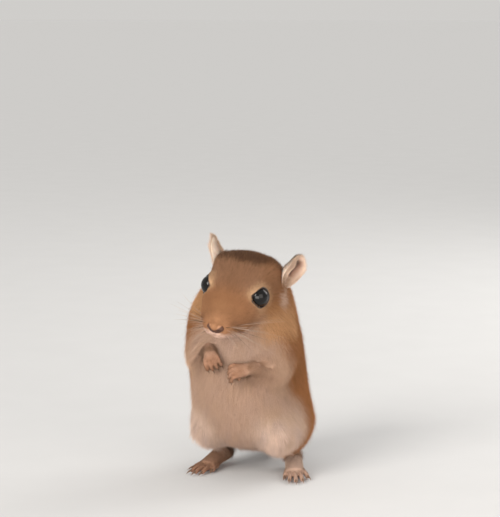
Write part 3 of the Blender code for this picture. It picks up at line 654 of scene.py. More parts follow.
class Skin:
    """The skin's points, and cells round them that find the nearest skin point at once."""

    def __init__(self):
        """The shell round the bones, smoothed and let in by the coat's depth.

        Eyes, face, crown and brush are shaped on it after that. Each point's coat and lie are
        those of the bones near it, by weight.
        """
        points, quads, fine = skin_shell()
        edges = edges_of(quads)
        weight, share = BONES.near(points)
        of_paw = np.isin(BONES.group, ["paw", "foot"])
        weight = np.where(fine[:, None] == of_paw[None], weight, 0)
        weight /= weight.sum(axis=1, keepdims=True)
        coat = mix(BONES.coat[..., 0], BONES.coat[..., 1], share)
        self.length, self.depth, self.width = np.einsum("pb,pbk->kp", weight, coat)
        group = {name: weight[:, BONES.group == name].sum(axis=1) for name in set(BONES.group)}
        tufted = ramp(0.05, 0.5, group["tuft"])
        face = ramp(0.3, 0.8, group["head"]) * ramp(8, -2, to_head(points)[:, 1])
        points = relaxed(points, edges, np.where(fine, 0.4, 0.5), 2)
        points = relaxed(points, edges, 0.5 * (1 - np.maximum(face, tufted)) * ~fine, 24)
        near_eye = np.zeros(len(points))
        for side in SIDES:
            gap = far(to_head(points) - eye_place(side))
            near_eye = np.maximum(near_eye, ramp(8.0, 4.4, gap))
        self.depth *= 1 - 0.7 * near_eye * group["head"]
        self.length *= 1 - 0.6 * near_eye * group["head"]
        normals = point_normals(points, quads)
        sunk = (self.depth + SEAM_FILL) * (1 - 0.8 * tufted)
        points = points - normals * np.where(fine, 0.0, sunk)[:, None]
        points = self.seat_lids(points, normals, fine)
        points = relaxed(points, edges, np.where(fine, 0.0, 0.35), 2)
        points = self.carve_face(points, quads)
        points = self.square_crown(points)
        points = self.round_brush(points, group["tuft"])
        points[:, 2] = np.maximum(points[:, 2], SKIN_CLEAR)
        self.points, self.quads, self.group, self.fine = points, quads, group, fine
        self.normals = point_normals(points, quads)
        lie = self.part_fur(np.einsum("pb,bk->pk", weight, BONES.lie))
        lie = unit(lie - self.normals * (lie * self.normals).sum(1, keepdims=True))
        self.lie = unit(relaxed(lie, edges, np.full(len(lie), 0.5), 14))
        self.bone = np.argmax(weight, axis=1)
        self.cells()

    def seat_lids(self, points, normals, fine):
        """Lays the skin round each eye on the ball, and what lines the socket inside it."""
        head, facing = to_head(points), normals @ HEAD_ROTATION
        for side in SIDES:
            away = head - eye_place(side)
            gap = far(away)
            outer = (facing * away).sum(axis=1) > 0
            over = np.maximum(gap, EYE_RADIUS + SKIN_ON_BALL)
            wish = np.where(outer, over, EYE_RADIUS - LINING_IN_BALL)
            close = (gap < SOCKET_REACH) & ~fine
            head = head + (away / gap[:, None]) * ((wish - gap) * close)[:, None]
        return from_head(head)

    def round_brush(self, points, tuft):
        """Draws the skin under the tail's brush into a plain round core along its line."""
        chosen = np.where(tuft > 0.02)[0]
        start, off = beside_brush(points[chosen])
        radius = BRUSH_CORE * (1 - ramp(BRUSH_END - 5, BRUSH_END + 4, start)) + 0.05
        core = on_brush(np.minimum(start, BRUSH_END + 4)) + unit(off) * radius[:, None]
        points[chosen] = mix(points[chosen], core, ramp(0.3, 0.9, tuft[chosen]))
        return points

    def square_crown(self, points):
        """Fills out the corners of the crown in front of the ears."""
        head = to_head(points)
        for side in SIDES:
            gap = far(head - on_side(CROWN_CORNER, side))
            push = CORNER_PUSH * bell(gap, CORNER_WIDTH)
            head = head + np.array([0.66 * side, 0, 0.75]) * push[:, None]
        return from_head(head)

    def carve_face(self, points, quads):
        """Cuts the mouth's line, the cleft and the folds, and swells the lips and whisker pads."""
        head = to_head(points)
        mouth = mouth_gap(head)
        z = np.linspace(-8.2, -10.2, 9)
        cleft = nearest_gap(head, np.stack([0 * z, -17.0 + (-8.2 - z) * 0.6, z], 1))
        cuts = [(mouth, MOUTH_CUT), (cleft, CLEFT_CUT), (fold_gap(head), FOLD_CUT)]
        groove = sum(depth * bell(gap, width) for gap, (depth, width) in cuts)
        both_sides = np.column_stack([np.abs(head[:, 0]), head[:, 1:]])
        pads = PAD_SWELL * lump(both_sides, WHISKER_PAD, PAD_WIDTH)
        swell = LIP_SWELL * bell(mouth - LIP_GAP, LIP_WIDTH) + pads - groove
        return points + point_normals(points, quads) * swell[:, None]

    def part_fur(self, lie):
        """Turns the lie of the fur away from the eyes and out from the muzzle's middle."""
        head = to_head(self.points)
        for side in SIDES:
            away = head - eye_place(side)
            near = bell(far(away) - EYE_RADIUS, 1.6) * 1.3 * self.group["head"]
            lie = lie + unit(away) @ HEAD_ROTATION.T * near[:, None]
        muzzle = ramp(-9, -14, head[:, 1]) * self.group["head"] * 1.2
        spread = unit(head - np.array([0, -17.5, -5.5])) @ HEAD_ROTATION.T
        return lie + spread * muzzle[:, None]

    def cells(self):
        """Each cell near the skin holds the number of a skin point in or beside it."""
        self.low = self.points.min(axis=0) - 8 * CELL
        size = np.ceil((self.points.max(axis=0) - self.low) / CELL).astype(int) + 8
        self.cell = np.full(size, -1, np.int32)
        spot = ((self.points - self.low) / CELL).astype(int)
        self.cell[tuple(spot.T)] = np.arange(len(self.points))
        for _ in range(6):
            for axis in range(3):
                for step in (1, -1):
                    moved = np.roll(self.cell, step, axis)
                    self.cell = np.where(self.cell < 0, moved, self.cell)

    def near(self, points):
        """The number of the skin point nearest to each point."""
        spot = ((points - self.low) / CELL).astype(int)
        spot = np.clip(spot, 0, np.array(self.cell.shape) - 1)
        return np.maximum(self.cell[tuple(spot.T)], 0)


def trunk_colour(points):
    """Cream in front, tan and then gold round each flank, darker and ticked over the back.

    Azimuths are in degrees round the trunk and heights in millimetres over the floor.
    """
    azimuth, height = np.abs(azimuth_of(points)), points[:, 2]
    edge = 53 + 23 * ramp(40, 28, height) - 24 * ramp(50, 60, height) + ripple(points, 9.0, 3) * 4
    back = ramp(edge - 5, edge + 12, azimuth) * ramp(6, 13, height)
    bib = ramp(45, 12, azimuth) * ramp(44, 52, height)
    haunch = ramp(33, 24, height) * ramp(12, 35, azimuth) * ramp(95, 70, azimuth)
    hem = ramp(22, 12, height) * ramp(45, 20, azimuth)
    streak = ripple(points * (1, 1, 0.3), 3.2, 15)
    warm = ripple(points * (1, 1, 0.4), 5.5, 16)
    trunk = layered(
        CREAM,
        (TAN, 0.75 * ramp(edge - 12, edge + 2, azimuth)),
        (WHITE, 0.4 * bib),
        (WHITE, 0.75 * haunch),
        (LILAC, np.clip(0.10 + 0.50 * ramp(34, 14, height) * streak + 0.22 * streak, 0, 0.65)),
        (LILAC * 0.75, 0.45 * hem),
        (WARM_CREAM, np.clip(0.35 * warm, 0, 1)),
        (mix(GOLD, GOLD * 0.82, ramp(34, 46, height)), back),
        (GOLD_SHADE, 0.6 * back * ramp(100, 150, azimuth)),
    )
    ticked = back * (0.08 + 0.42 * ramp(95, 150, azimuth)) * ramp(10, 22, height)
    return trunk, ticked, back


def head_colour(points):
    """Brown forehead, gold muzzle and cheeks, dark crown, pale lips, chin and eye rings.

    Places are in millimetres in the head's frame: x to either side, y back and z up.
    """
    head = to_head(points)
    x, y, z = np.abs(head[:, 0]), head[:, 1], head[:, 2]
    lip = -8.6 - 0.2 * (y + 14) + 0.35 * ripple(points, 4.0, 5)
    under = ramp(lip + 0.7, lip - 0.7, z)
    bend = np.where(head[:, 0] < 0, 0.008, 0.042)
    top = y + 0.45 * z - bend * x**2 + 0.6 * ripple(points, 3.0, 6)
    crown = ramp(5.4, 8.6, top) * ramp(1.0, 4.0, z) * ramp(14, 11.5, x) * (1 - 0.85 * ramp(9, 17, y))
    face = layered(
        RUSSET,
        (TAWNY, ramp(-10, -4, y) * ramp(-2.5, 3.0, z + 0.3 * ripple(points, 4.0, 4))),
        (CHEEK, 0.75 * ramp(-1, -5, z) * ramp(-8, -1, y)),
        (BRIDGE, 0.4 * bell(x, 2.4) * ramp(-9, -14, y) * ramp(-6.5, -4, z)),
        (MUZZLE, 0.4 * ramp(-11, -15.5, y)),
        (LIP, under * ramp(1, -4, y)),
        # Painted shade: dark brown along the crease behind each whisker pad.
        (FOLD_SHADE, 0.5 * bell(fold_gap(head), 0.9)),
        (GOLD_SHADE, ramp(6, 14, y) * ramp(-3, 3, z)),
        (CROWN, 0.9 * crown),
    )
    for side in SIDES:
        local = eye_local(points, side)
        face = mix(face, EYE_RING, 0.55 * ramp(1.7, 1.15, lid_radius(local)) * ramp(-1, 1, local[:, 0]))
    return face, (0.10 + 0.55 * crown) * (1 - under) * ramp(-12, -2, y)


def markings(points, group):
    """The coat's colour at points of the skin, and how much of it is tipped with black."""
    trunk, ticked, back = trunk_colour(points)
    length, height = points[:, 1], points[:, 2]
    wrist = np.minimum(*[far(points - WRIST[side]) for side in SIDES])
    arm = mix(mix(CREAM, TAN, 0.7), BUFF, 0.8 * ramp(11, 3, wrist))
    paw = 0.15 + 0.15 * ripple(points, 3.0, 7) + 0.4 * ramp(4.5, 2.0, wrist)
    foot = layered(
        WHITE,
        (CREAM, 0.25 + 0.15 * ripple(points, 4.0, 8)),
        (BUFF, 0.5 * ramp(4.5, 2.5, height)),
        # Painted shade: the right hind foot is darker, for the shadow that it stands in.
        (BUFF * 0.9, 0.85 * (points[:, 0] < 0)),
    )
    tail = mix(GOLD, GOLD_SHADE, 0.5 * ramp(0.5, 3.5, height))
    none = np.zeros(len(points))
    shares = {
        "head": head_colour(points),
        "arm": (mix(arm, trunk, back), none),
        # The shanks are pale, and painted lighter still: painted light against the shade of the
        # haunches over them.
        "shank": (mix(WHITE * 1.12, CREAM, 0.05 + 0.1 * ripple(points, 4.0, 9)), none),
        "paw": (mix(BUFF, CREAM, paw), none),
        "foot": (foot, none),
        "tail": (mix(tail, CREAM, 0.45 * ramp(2.2, 0.6, height)), none + 0.3),
        "tuft": (mix(GOLD_SHADE, DARK_TIP, ramp(52, 72, length)), ramp(50, 66, length)),
    }
    rest = 1 - sum(group[name] for name in shares)
    colour, ticking = trunk * rest[:, None], ticked * rest
    for name, (some, tips) in shares.items():
        colour = colour + some * group[name][:, None]
        ticking = ticking + tips * group[name]
    head = to_head(points)
    x, y, z = head.T
    jowl = ramp(-14.6, -12.4, z - 2.5 * (x < 0)) * ramp(-3.5, -7, z) * ramp(-2, 2, y) * ramp(17, 11, y)
    colour = mix(colour, JOWL, 0.85 * jowl * ramp(5, 9, np.abs(x)))
    for side in SIDES:
        colour = mix(colour, WHITE, 0.75 * ramp(2.6, 0.9, far(head - on_side(WHITE_MARK, side))))
    patchy = 1 + 0.05 * ripple(points, 6.0, 12) + 0.04 * ripple(points, 2.4, 13)
    return np.clip(colour * patchy[:, None], 0, 1), np.clip(ticking, 0, 1)


def scattered(skin, wanted, count, chance):
    """Root places on the skin: triangles drawn by area and wish, a random spot in each."""
    triangles = np.vstack([skin.quads[:, [0, 1, 2]], skin.quads[:, [0, 2, 3]]])
    a, b, c = (skin.points[triangles[:, k]] for k in range(3))
    pull = np.cumsum(far(np.cross(b - a, c - a)) / 2 * wanted[triangles].mean(axis=1))
    pick = np.searchsorted(pull, chance.uniform(0, pull[-1], count))
    pick = np.minimum(pick, len(triangles) - 1)
    first, second = chance.uniform(0, 1, (2, count))
    over = first + second > 1
    first, second = np.where(over, 1 - first, first), np.where(over, 1 - second, second)
    place = a[pick] + first[:, None] * (b - a)[pick] + second[:, None] * (c - a)[pick]
    return place, triangles[pick, 0]


def laid_paths(skin, place, spot, length, depth, steps, chance, stray):
    """Centre lines of tufts: each walks over the skin along the coat's lie and rises.

    The rise over the skin is depth times (1 - (1 - s)^2) at the share s of the length. A few
    tufts stand up more and stray further, so that the outline isn't smooth.
    """
    count = len(place)
    loose = chance.uniform(0, 1, count) < LOOSE_TUFTS
    yaw = chance.normal(0, stray, count) * np.where(loose, 1.8, 1.0)
    rise = chance.uniform(0.7, 1.12, count) * np.where(loose, 1.55, 1.0)
    here, normal = place.copy(), skin.normals[spot]
    rings, normals = [here - normal * ROOT_DEPTH], [normal]
    for k in range(1, steps + 1):
        lie = skin.lie[spot]
        across = np.cross(skin.normals[spot], lie)
        heading = lie * np.cos(yaw)[:, None] + across * np.sin(yaw)[:, None]
        here = here + heading * (length / steps)[:, None]
        spot = skin.near(here)
        gap = ((here - skin.points[spot]) * skin.normals[spot]).sum(1)
        here = here - np.clip(gap, -0.8, 0.8)[:, None] * skin.normals[spot]
        lift = depth * rise * (1 - (1 - k / steps) ** 2)
        rings.append(here + skin.normals[spot] * lift[:, None])
        normals.append(unit(normals[-1] + skin.normals[spot]))
    return np.stack(rings, 1), np.stack(normals, 1)


def on_brush(along):
    """Points of the line through the tail's end at the given distances along it."""
    knots = np.append(0, np.cumsum(far(np.diff(BRUSH_LINE, axis=0))))
    return np.stack([np.interp(along, knots, values) for values in BRUSH_LINE.T], -1)


def beside_brush(points):
    """How far along the line through the tail's end points lie, and the way to them from it."""
    nearest = far(points[:, None] - on_brush(BRUSH_MARKS)[None]).argmin(axis=1)
    along = BRUSH_MARKS[nearest]
    return along, points - on_brush(along)


def brush_paths(place, length, depth, steps, chance):
    """Centre lines of the hairs on the tail's end, which run on along its line and past it.

    At the share s of its length a hair stands off the line by its root's distance plus
    depth times (1 - (1 - s)^2), and less beyond the tail's end.
    """
    start, off = beside_brush(place)
    reach = far(off)
    radial = unit(off + chance.normal(0, 0.12, off.shape) * reach[:, None])
    rings = []
    for k in range(steps + 1):
        share = k / steps
        along = start + length * share
        lift = reach - 0.2 + depth * (1 - (1 - share) ** 2) * chance.uniform(0.85, 1.2, len(place))
        lift = lift * (1 - 0.75 * ramp(BRUSH_END - 3, BRUSH_END + 9, along))
        rings.append(on_brush(along) + radial * lift[:, None])
    return np.stack(rings, 1), np.repeat(radial[:, None], steps + 1, axis=1)


def clumped(rings, place, size, pull):
    """Draws the tufts whose roots share a cell of the given size towards their mean line."""
    wobble = np.stack([ripple(place, size * 1.7, seed) for seed in (21, 22, 23)], 1) * size * 0.45
    cell = np.floor((place + wobble) / size).astype(np.int64)
    key = (cell * np.array([73856093, 19349663, 83492791])).sum(axis=1)
    _, group = np.unique(key, return_inverse=True)
    group = group.reshape(-1)
    count = np.bincount(group)
    steps = rings.shape[1] - 1
    out = rings.copy()
    for k in range(1, steps + 1):
        for axis in range(3):
            mean = np.bincount(group, rings[:, k, axis]) / count
            out[:, k, axis] += (mean[group] - rings[:, k, axis]) * pull * (k / steps) ** 1.5
    return out


def tuft_mesh(rings, normals, width):
    """Points, faces and soft normals of tapered tufts: three-cornered rings up to one point.

    The soft normals lean from each corner's own side towards the skin's, so that the coat
    shades as one surface.
    """
    count, steps = rings.shape[0], rings.shape[1] - 1
    ahead = unit(np.diff(rings, axis=1))
    ahead = np.concatenate([ahead, ahead[:, -1:]], axis=1)
    side = unit(np.cross(ahead, normals))
    upward = np.cross(side, ahead)
    taper = np.array([0.8, 1.0, 0.7][:steps])
    half = (width / 2)[:, None, None] * taper[None, :, None]
    centre, side, upward = rings[:, :steps], side[:, :steps], upward[:, :steps]
    corners = [centre - side * half, centre + side * half, centre + upward * half * 0.9]
    body = np.stack(corners, 2).reshape(count, steps * 3, 3)
    points = np.concatenate([body, rings[:, -1:]], axis=1)
    own = np.stack([-side - upward * 0.5, side - upward * 0.5, upward], 2)
    soft = own * (1 - COAT_SOFTNESS) + normals[:, :steps, None] * COAT_SOFTNESS
    soft = np.concatenate([soft.reshape(count, steps * 3, 3), normals[:, -1:]], axis=1)
    pattern = [(0, 1, 2)]
    for low in range(0, (steps - 1) * 3, 3):
        for k in range(3):
            high, after = low + 3, (k + 1) % 3
            pattern.append((low + k, high + after, low + after))
            pattern.append((low + k, high + k, high + after))
    last, tip = (steps - 1) * 3, steps * 3
    pattern += [(last + k, tip, last + (k + 1) % 3) for k in range(3)]
    faces = np.array(pattern)[None] + (np.arange(count) * (steps * 3 + 1))[:, None, None]
    return points.reshape(-1, 3), faces.reshape(-1, 3), unit(soft.reshape(-1, 3))


def unwrapped(skin, place, spot):
    """A place in the unit square for each root: a strip for each bone, unrolled round it.

    Across the strip goes the angle round the bone, and up it the share of its length.
    """
    bone = skin.bone[spot]
    kinds, strip = np.unique(bone, return_inverse=True)
    span = unit(BONES.span)[bone]
    first = unit(np.cross(span, (0.31, 0.52, 0.79)))
    second = np.cross(span, first)
    away = place - BONES.start[bone]
    angle = np.arctan2((away * second).sum(1), (away * first).sum(1)) / (2 * math.pi) + 0.5
    share = ((away * span).sum(1) / far(BONES.span)[bone] + 0.6) / 2.2
    u = (strip.reshape(-1) + 0.03 + 0.94 * angle) / len(kinds)
    return np.stack([u * 0.99, np.clip(share, 0, 1) * 0.99], 1)


def soften(piece, normals):
    """Gives a piece's points the soft normals of its tufts."""
    piece.data.normals_split_custom_set_from_vertices(normals.tolist())


def tuft_piece(name, skin, roots, steps, size, pull, stray, slot, colours):
    """One piece of the coat from its roots: tufts with their colours and baking places."""
    place, spot = roots
    chance = np.random.default_rng(SEED + len(name) * 7 + len(place))
    count = len(place)
    length = skin.length[spot] * chance.uniform(*TUFT_LENGTH, count)
    depth = skin.depth[spot] * chance.uniform(*TUFT_DEPTH, count)
    width = skin.width[spot] * chance.uniform(*TUFT_WIDTH, count)
    if slot == "tail_tuft":
        rings, normals = brush_paths(place, length, depth, steps, chance)
    else:
        rings, normals = laid_paths(skin, place, spot, length, depth, steps, chance, stray)
    rings = clumped(rings, place, size, pull)
    rings = clumped(rings, place, size * 0.4, pull)
    rings[:, :, 2] = np.maximum(rings[:, :, 2], COAT_CLEAR)
    points, faces, soft = tuft_mesh(rings, normals, width)
    piece = mesh_piece(name, points, faces, coat_material, slot)
    soften(piece, soft)
    base, ticking = colours
    # A tuft takes its colour a little to one side of its root, so that no marking ends sharply.
    beside = skin.near(place + chance.normal(0, 0.13, (count, 3)) * length[:, None])
    tipped = chance.uniform(0, 1, count) < ticking[beside]
    fur = np.clip(base[beside] * chance.normal(1, TINT_SPREAD, (count, 1)), 0, 1)
    gold = ramp(0.25, 0.5, 1 - fur[:, 2] / np.maximum(fur[:, 0], 1e-3))
    shades, patch = [], []
    for ring in range(steps + 1):
        share = ring / steps
        low = fur * (0.76 + 0.24 * ramp(0, 0.6, share))
        low = mix(low, GOLD_SHADE * 0.8, gold * 0.3 * (1 - ramp(0, 0.5, share)))
        shade = mix(low, DARK_TIP, tipped * ramp(0.4, 0.8, share) * 0.85)
        corners = (0.0, 1.0, 0.5) if ring < steps else (0.5,)
        shades += [shade] * len(corners)
        patch += [(across, share) for across in corners]
    paint(piece, np.stack(shades, 1).reshape(-1, 3))
    map_tufts(piece, unwrapped(skin, place, spot), patch)


def coat_regions(skin):
    """How much each named piece of the coat wants roots at each skin point, and its make."""
    head, azimuth, height = to_head(skin.points), azimuth_of(skin.points), skin.points[:, 2]
    group = skin.group
    is_head = group["head"] > 0.5
    is_trunk = ~is_head & (group["body"] + group["haunch"] > 0.5)
    pad = (head - NOSE_AT) / (np.array(NOSE_RADII) + 0.05)
    bare = (far(pad) < 1) & (pad[:, 2] < 0.45)
    bare |= mouth_gap(head) < 0.4
    for side in SIDES:
        local = eye_local(skin.points, side)
        gap = far(head - eye_place(side))
        bare |= (lid_radius(local) < 1.06) & (local[:, 0] > -0.5) & (gap < 6)
        bare |= gap < EYE_RADIUS + 0.1
    sole = skin.fine & (skin.normals[:, 2] < -0.3) & (height < 12)
    dense = ~(bare | sole) * 1.0
    face = is_head & (head[:, 1] < 0)
    front, high = np.abs(azimuth) < 78, height > 40
    tail = group["tail"] + group["tuft"] > 0.5
    limb_fur = ~is_head & ~is_trunk & ~tail & ~skin.fine
    left, right = (azimuth > 0) & (azimuth < 140), (azimuth < 0) & (azimuth > -140)
    # name, where, tufts, steps of a tuft, size of a lock, its pull, stray, slot
    rows = [
        ("coat_face", face, 46000, 1, 1.0, 0.12, 0.16, "golden_coat"),
        ("coat_crown", is_head & ~face, 33000, 1, 1.5, 0.18, 0.18, "golden_coat"),
        ("coat_chest", is_trunk & front & high, 40000, 1, 2.4, 0.14, 0.17, "cream_coat"),
        ("coat_belly", is_trunk & front & ~high, 46000, 1, 2.8, 0.14, 0.15, "cream_coat"),
        ("coat_left_flank", is_trunk & ~front & left, 39000, 1, 2.4, 0.14, 0.15, "golden_coat"),
        ("coat_right_flank", is_trunk & ~front & right, 39000, 1, 2.4, 0.14, 0.15, "golden_coat"),
        ("coat_back", is_trunk & ~front & ~left & ~right, 32000, 1, 2.4, 0.14, 0.15, "golden_coat"),
        ("coat_limbs", limb_fur, 24000, 1, 1.4, 0.18, 0.15, "cream_coat"),
        ("coat_paws", skin.fine, 28000, 1, 0.6, 0.1, 0.16, "buff_coat"),
        ("coat_tail", tail & (group["tuft"] <= 0.5), 12000, 1, 1.4, 0.15, 0.12, "golden_coat"),
        ("coat_tail_tuft", tail & (group["tuft"] > 0.5), 4000, 3, 1.6, 0.15, 0.10, "tail_tuft"),
    ]
    return [(row[0], dense * row[1], *row[2:]) for row in rows]


def grow_coat(skin, colours):
    """Every piece of the coat, each from draws of its own."""
    for name, wanted, count, *make in coat_regions(skin):
        roots = scattered(skin, wanted, count, np.random.default_rng(SEED + count))
        tuft_piece(name, skin, roots, *make, colours)


def skin_piece(skin, colours):
    """The one skin under the coat, in the coat's own colours."""
    piece = mesh_piece("skin", skin.points, skin.quads, skin_material, "golden_coat")
    base, ticking = colours
    # The mouth's line is painted near black: painted shade in the cut between the lips.
    mouth = bell(mouth_gap(to_head(skin.points)), 0.5)
    sole = skin.fine * ramp(0.1, -0.5, skin.normals[:, 2]) * (skin.points[:, 2] < 12)
    shade = layered(
        base * 0.85,
        (GOLD_SHADE * 0.8, 0.35 * ticking),
        (BARE, 0.6 * sole + 0.15 * skin.fine * (1 - sole)),
        (NOSE_SKIN * 0.5, 0.8 * mouth),
    )
    for side in SIDES:
        local = eye_local(skin.points, side)
        shade = mix(shade, LID_DARK, ramp(1.12, 1.04, lid_radius(local)) * ramp(-1, 1, local[:, 0]))
    paint(piece, shade)
    map_piece(piece, unwrapped(skin, skin.points, np.arange(len(skin.points))))
    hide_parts(*BODY_FLESH, *PAW_FLESH)


def eye_piece(side):
    """An eyeball: rings round the way that it looks, its front bulged by a low cosine hump."""
    ball, faces = unit_ball(40, 64)
    radius = EYE_RADIUS * (1 + EYE_BULGE * np.maximum(ball[:, :1], 0) ** 2)
    points = (ball * radius) @ eye_axes(side) + eye_place(side)
    name = f"eye_{SIDE_NAME[side]}"
    faces = faces[:, ::-side]
    piece = mesh_piece(f"{name}_ball", from_head(points), faces, eye_material, "eye")
    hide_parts(name)


def lid_piece(side, skin):
    """The dark rim of the lids: a band from the eyeball out under the edge of the fur.

    Three closed lines run round the opening, on the ball, on the skin's edge and just under
    the skin outside it, and a smooth curve joins them across the band. The front corner's
    edge lies ahead of the ball, so the band is widest there.
    """
    half_width, half_height, corner = LID_OPENING
    steps, spokes = 15, 96
    turn = full_turn(spokes)
    reach = np.where(np.cos(turn) < 0, corner, half_width) * np.cos(turn)
    edge = np.stack([reach, half_height * lid_squeeze(reach) * np.sin(turn)], 1)
    inner = edge * np.minimum(0.94, 3.3 / far(edge)[:, None])
    ball = np.sqrt((EYE_RADIUS + 0.04) ** 2 - (inner**2).sum(1))
    local = eye_local(skin.points, side)
    gap = far(to_head(skin.points) - eye_place(side))
    out = lid_radius(local)
    rim = (out > 1.0) & (out < 2.4) & (gap > EYE_RADIUS + 0.15) & (gap < 7) & (local[:, 0] > -1.5)
    high, flat = local[rim, 0], local[rim, 1:]

    def skin_height(places):
        """Mean height of the rim's skin points, each weighted by a bell of its distance."""
        near = np.exp(-(((places[:, None] - flat[None]) ** 2).sum(-1)) / 0.3)
        return (near * high).sum(1) / np.maximum(near.sum(1), 1e-9)

    middle, outer = edge * 1.05, edge * 1.22
    floor = np.sqrt(np.maximum((EYE_RADIUS + 0.3) ** 2 - (middle**2).sum(1), 0.2))
    rows = [
        np.column_stack([ball, inner]),
        np.column_stack([np.maximum(skin_height(middle), floor) + 0.10, middle]),
        np.column_stack([skin_height(outer) - 0.18, outer]),
    ]
    band = smooth_line(np.array(rows).reshape(3, -1), np.linspace(0, 2, steps)).reshape(-1, 3)
    points = band @ eye_axes(side) + eye_place(side)
    faces = ring_faces(steps, spokes, closed=False)[:, ::side]
    name = f"lid_{SIDE_NAME[side]}"
    piece = mesh_piece(name, from_head(points), faces, lid_material, "ear_skin")
    share = np.repeat(np.linspace(0, 2, steps), spokes)
    paint(piece, mix(LID_DARK, LID_BROWN, ramp(1.1, 1.8, share)))


def nose_piece():
    """The bare nose: an egg-shaped ball with two nostrils and a groove pressed into it."""
    ball, faces = unit_ball(48, 72)
    ball = ball[:, [1, 0, 2]] * (1, -1, 1)
    dent = np.zeros(len(ball))
    for side in SIDES:
        dent += 0.42 * lump(ball, (0.60 * side, -0.72, -0.32), (0.20, 0.5, 0.22))
        dent -= 0.10 * lump(ball, (0.88 * side, -0.40, -0.10), (0.25, 0.5, 0.3))
    dent += 0.14 * bell(ball[:, 0], 0.07) * (ball[:, 2] < 0.1) * (ball[:, 1] < 0)
    points = ball * np.array(NOSE_RADII) * (1 - dent)[:, None] + NOSE_AT
    points[:, 2] += 0.35 * ball[:, 0] ** 2
    piece = mesh_piece("nose", from_head(points), faces, nose_material, "ear_skin")
    furred = ramp(-0.15, 0.35, ball[:, 2] - 0.9 * ball[:, 0] ** 2)
    # The nostrils and the groove are painted darker the deeper they are pressed in: painted shade in
    # the hollows.
    hollow = np.clip(dent * 2.6, 0, 1)
    paint(piece, layered(NOSE_SKIN, (NOSE_FUR, furred), (NOSE_SKIN * 0.18, hollow)))


class Ear:
    """One ear: a cupped leaf worked out from a share of its spread and a turn round it."""

    def __init__(self, side):
        """The axis from root to tip, the way the ear faces, square to it, and half its length."""
        root, tip = on_side(EAR_ROOT, side), on_side(EAR_TIP, side)
        self.axis = unit(tip - root)
        face = on_side(EAR_FACES, side)
        self.face = unit(face - self.axis * (face @ self.axis))
        self.across = np.cross(self.axis, self.face) * side
        self.middle = (root + tip) / 2
        self.half = far(tip - root) / 2

    def slit(self, rise, wide):
        """1 in the dark gap behind the front roll, 0 away from it."""
        return bell(wide - 0.43, 0.25, 4) * ramp(0.82, 0.5, rise) * ramp(-1, -0.7, rise)

    def inner(self, share, turn):
        """The hollow face: an oval narrowed at its root, dished by 1 - share cubed.

        A roll stands up along the front half and leaves a slit behind it.
        """
        rise, wide = share * np.sin(turn), share * np.cos(turn)
        narrow = 0.74 + 0.26 * np.tanh(2.4 * (rise + 0.35))
        dish = EAR_HOLLOW * (share**3 - 1) * (1 - 0.2 * np.clip(rise, 0, 1))
        roll = 2.0 * bell(wide + 0.08, 0.36) * ramp(0.85, 0.2, rise)
        curl = 0.5 * share**6 * ramp(0.1, -0.8, wide) - 1.5 * ramp(0.4, 1.0, rise)
        place = self.middle + (rise * self.half)[..., None] * self.axis
        place = place + (wide * narrow * EAR_HALF_WIDTH)[..., None] * self.across
        return place + (dish + roll + curl - 0.9 * self.slit(rise, wide))[..., None] * self.face

    def sheet(self, share, turn, depth):
        """The inner face moved back by a thickness that thins to the rim."""
        thick = EAR_THICKNESS * depth * (1 - 0.45 * share**2)
        return self.inner(share, turn) - thick[..., None] * self.face

    def colour(self, share, turn, behind):
        """Pale rim and front roll, the slit between them painted dark brown as its shade, tan at the
        back.
        """
        rise, wide = share * np.sin(turn), share * np.cos(turn)
        return layered(
            EAR_INSIDE,
            (EAR_RIM, ramp(0.70, 0.98, share)),
            (EAR_ROLL, ramp(0.35, 0.1, wide)),
            # Painted shade: near black in the slit behind the front roll.
            (EAR_SLIT_SHADE, 0.92 * self.slit(rise, wide)),
            (mix(EAR_BACK, EAR_EDGE, ramp(0.0, -0.6, wide)), behind),
        )


def ear_piece(side):
    """Two sheets of the cup, front and back, closed by a round rim."""
    ear = Ear(side)
    hoops, spokes = 26, 72
    share = np.arange(1, hoops + 1) / hoops
    share, turn = np.meshgrid(share, full_turn(spokes), indexing="ij")
    front = ear.sheet(share, turn, 0)
    rim = ear.sheet(share[-1:] * 1.02, turn[-1:], 0.5)
    grid = np.concatenate([front, rim, ear.sheet(share[::-1], turn[::-1], 1)])
    centre = [ear.sheet(np.array([0.0]), np.array([0.0]), depth)[0] for depth in (0, 1)]
    points, faces = np.vstack([grid.reshape(-1, 3), centre]), ring_faces(len(grid), spokes)
    name = f"ear_{SIDE_NAME[side]}"
    piece = mesh_piece(f"{name}_shell", from_head(points), faces, ear_material, "ear_skin")
    flat = np.concatenate([share.ravel(), np.ones(spokes), share[::-1].ravel(), [0, 0]])
    around = np.concatenate([turn.ravel(), turn[0], turn[::-1].ravel(), [0, 0]])
    behind = np.arange(len(points)) >= (hoops + 1) * spokes
    behind[-2] = False
    paint(piece, ear.colour(flat, around, behind * 1.0))
    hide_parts(name)


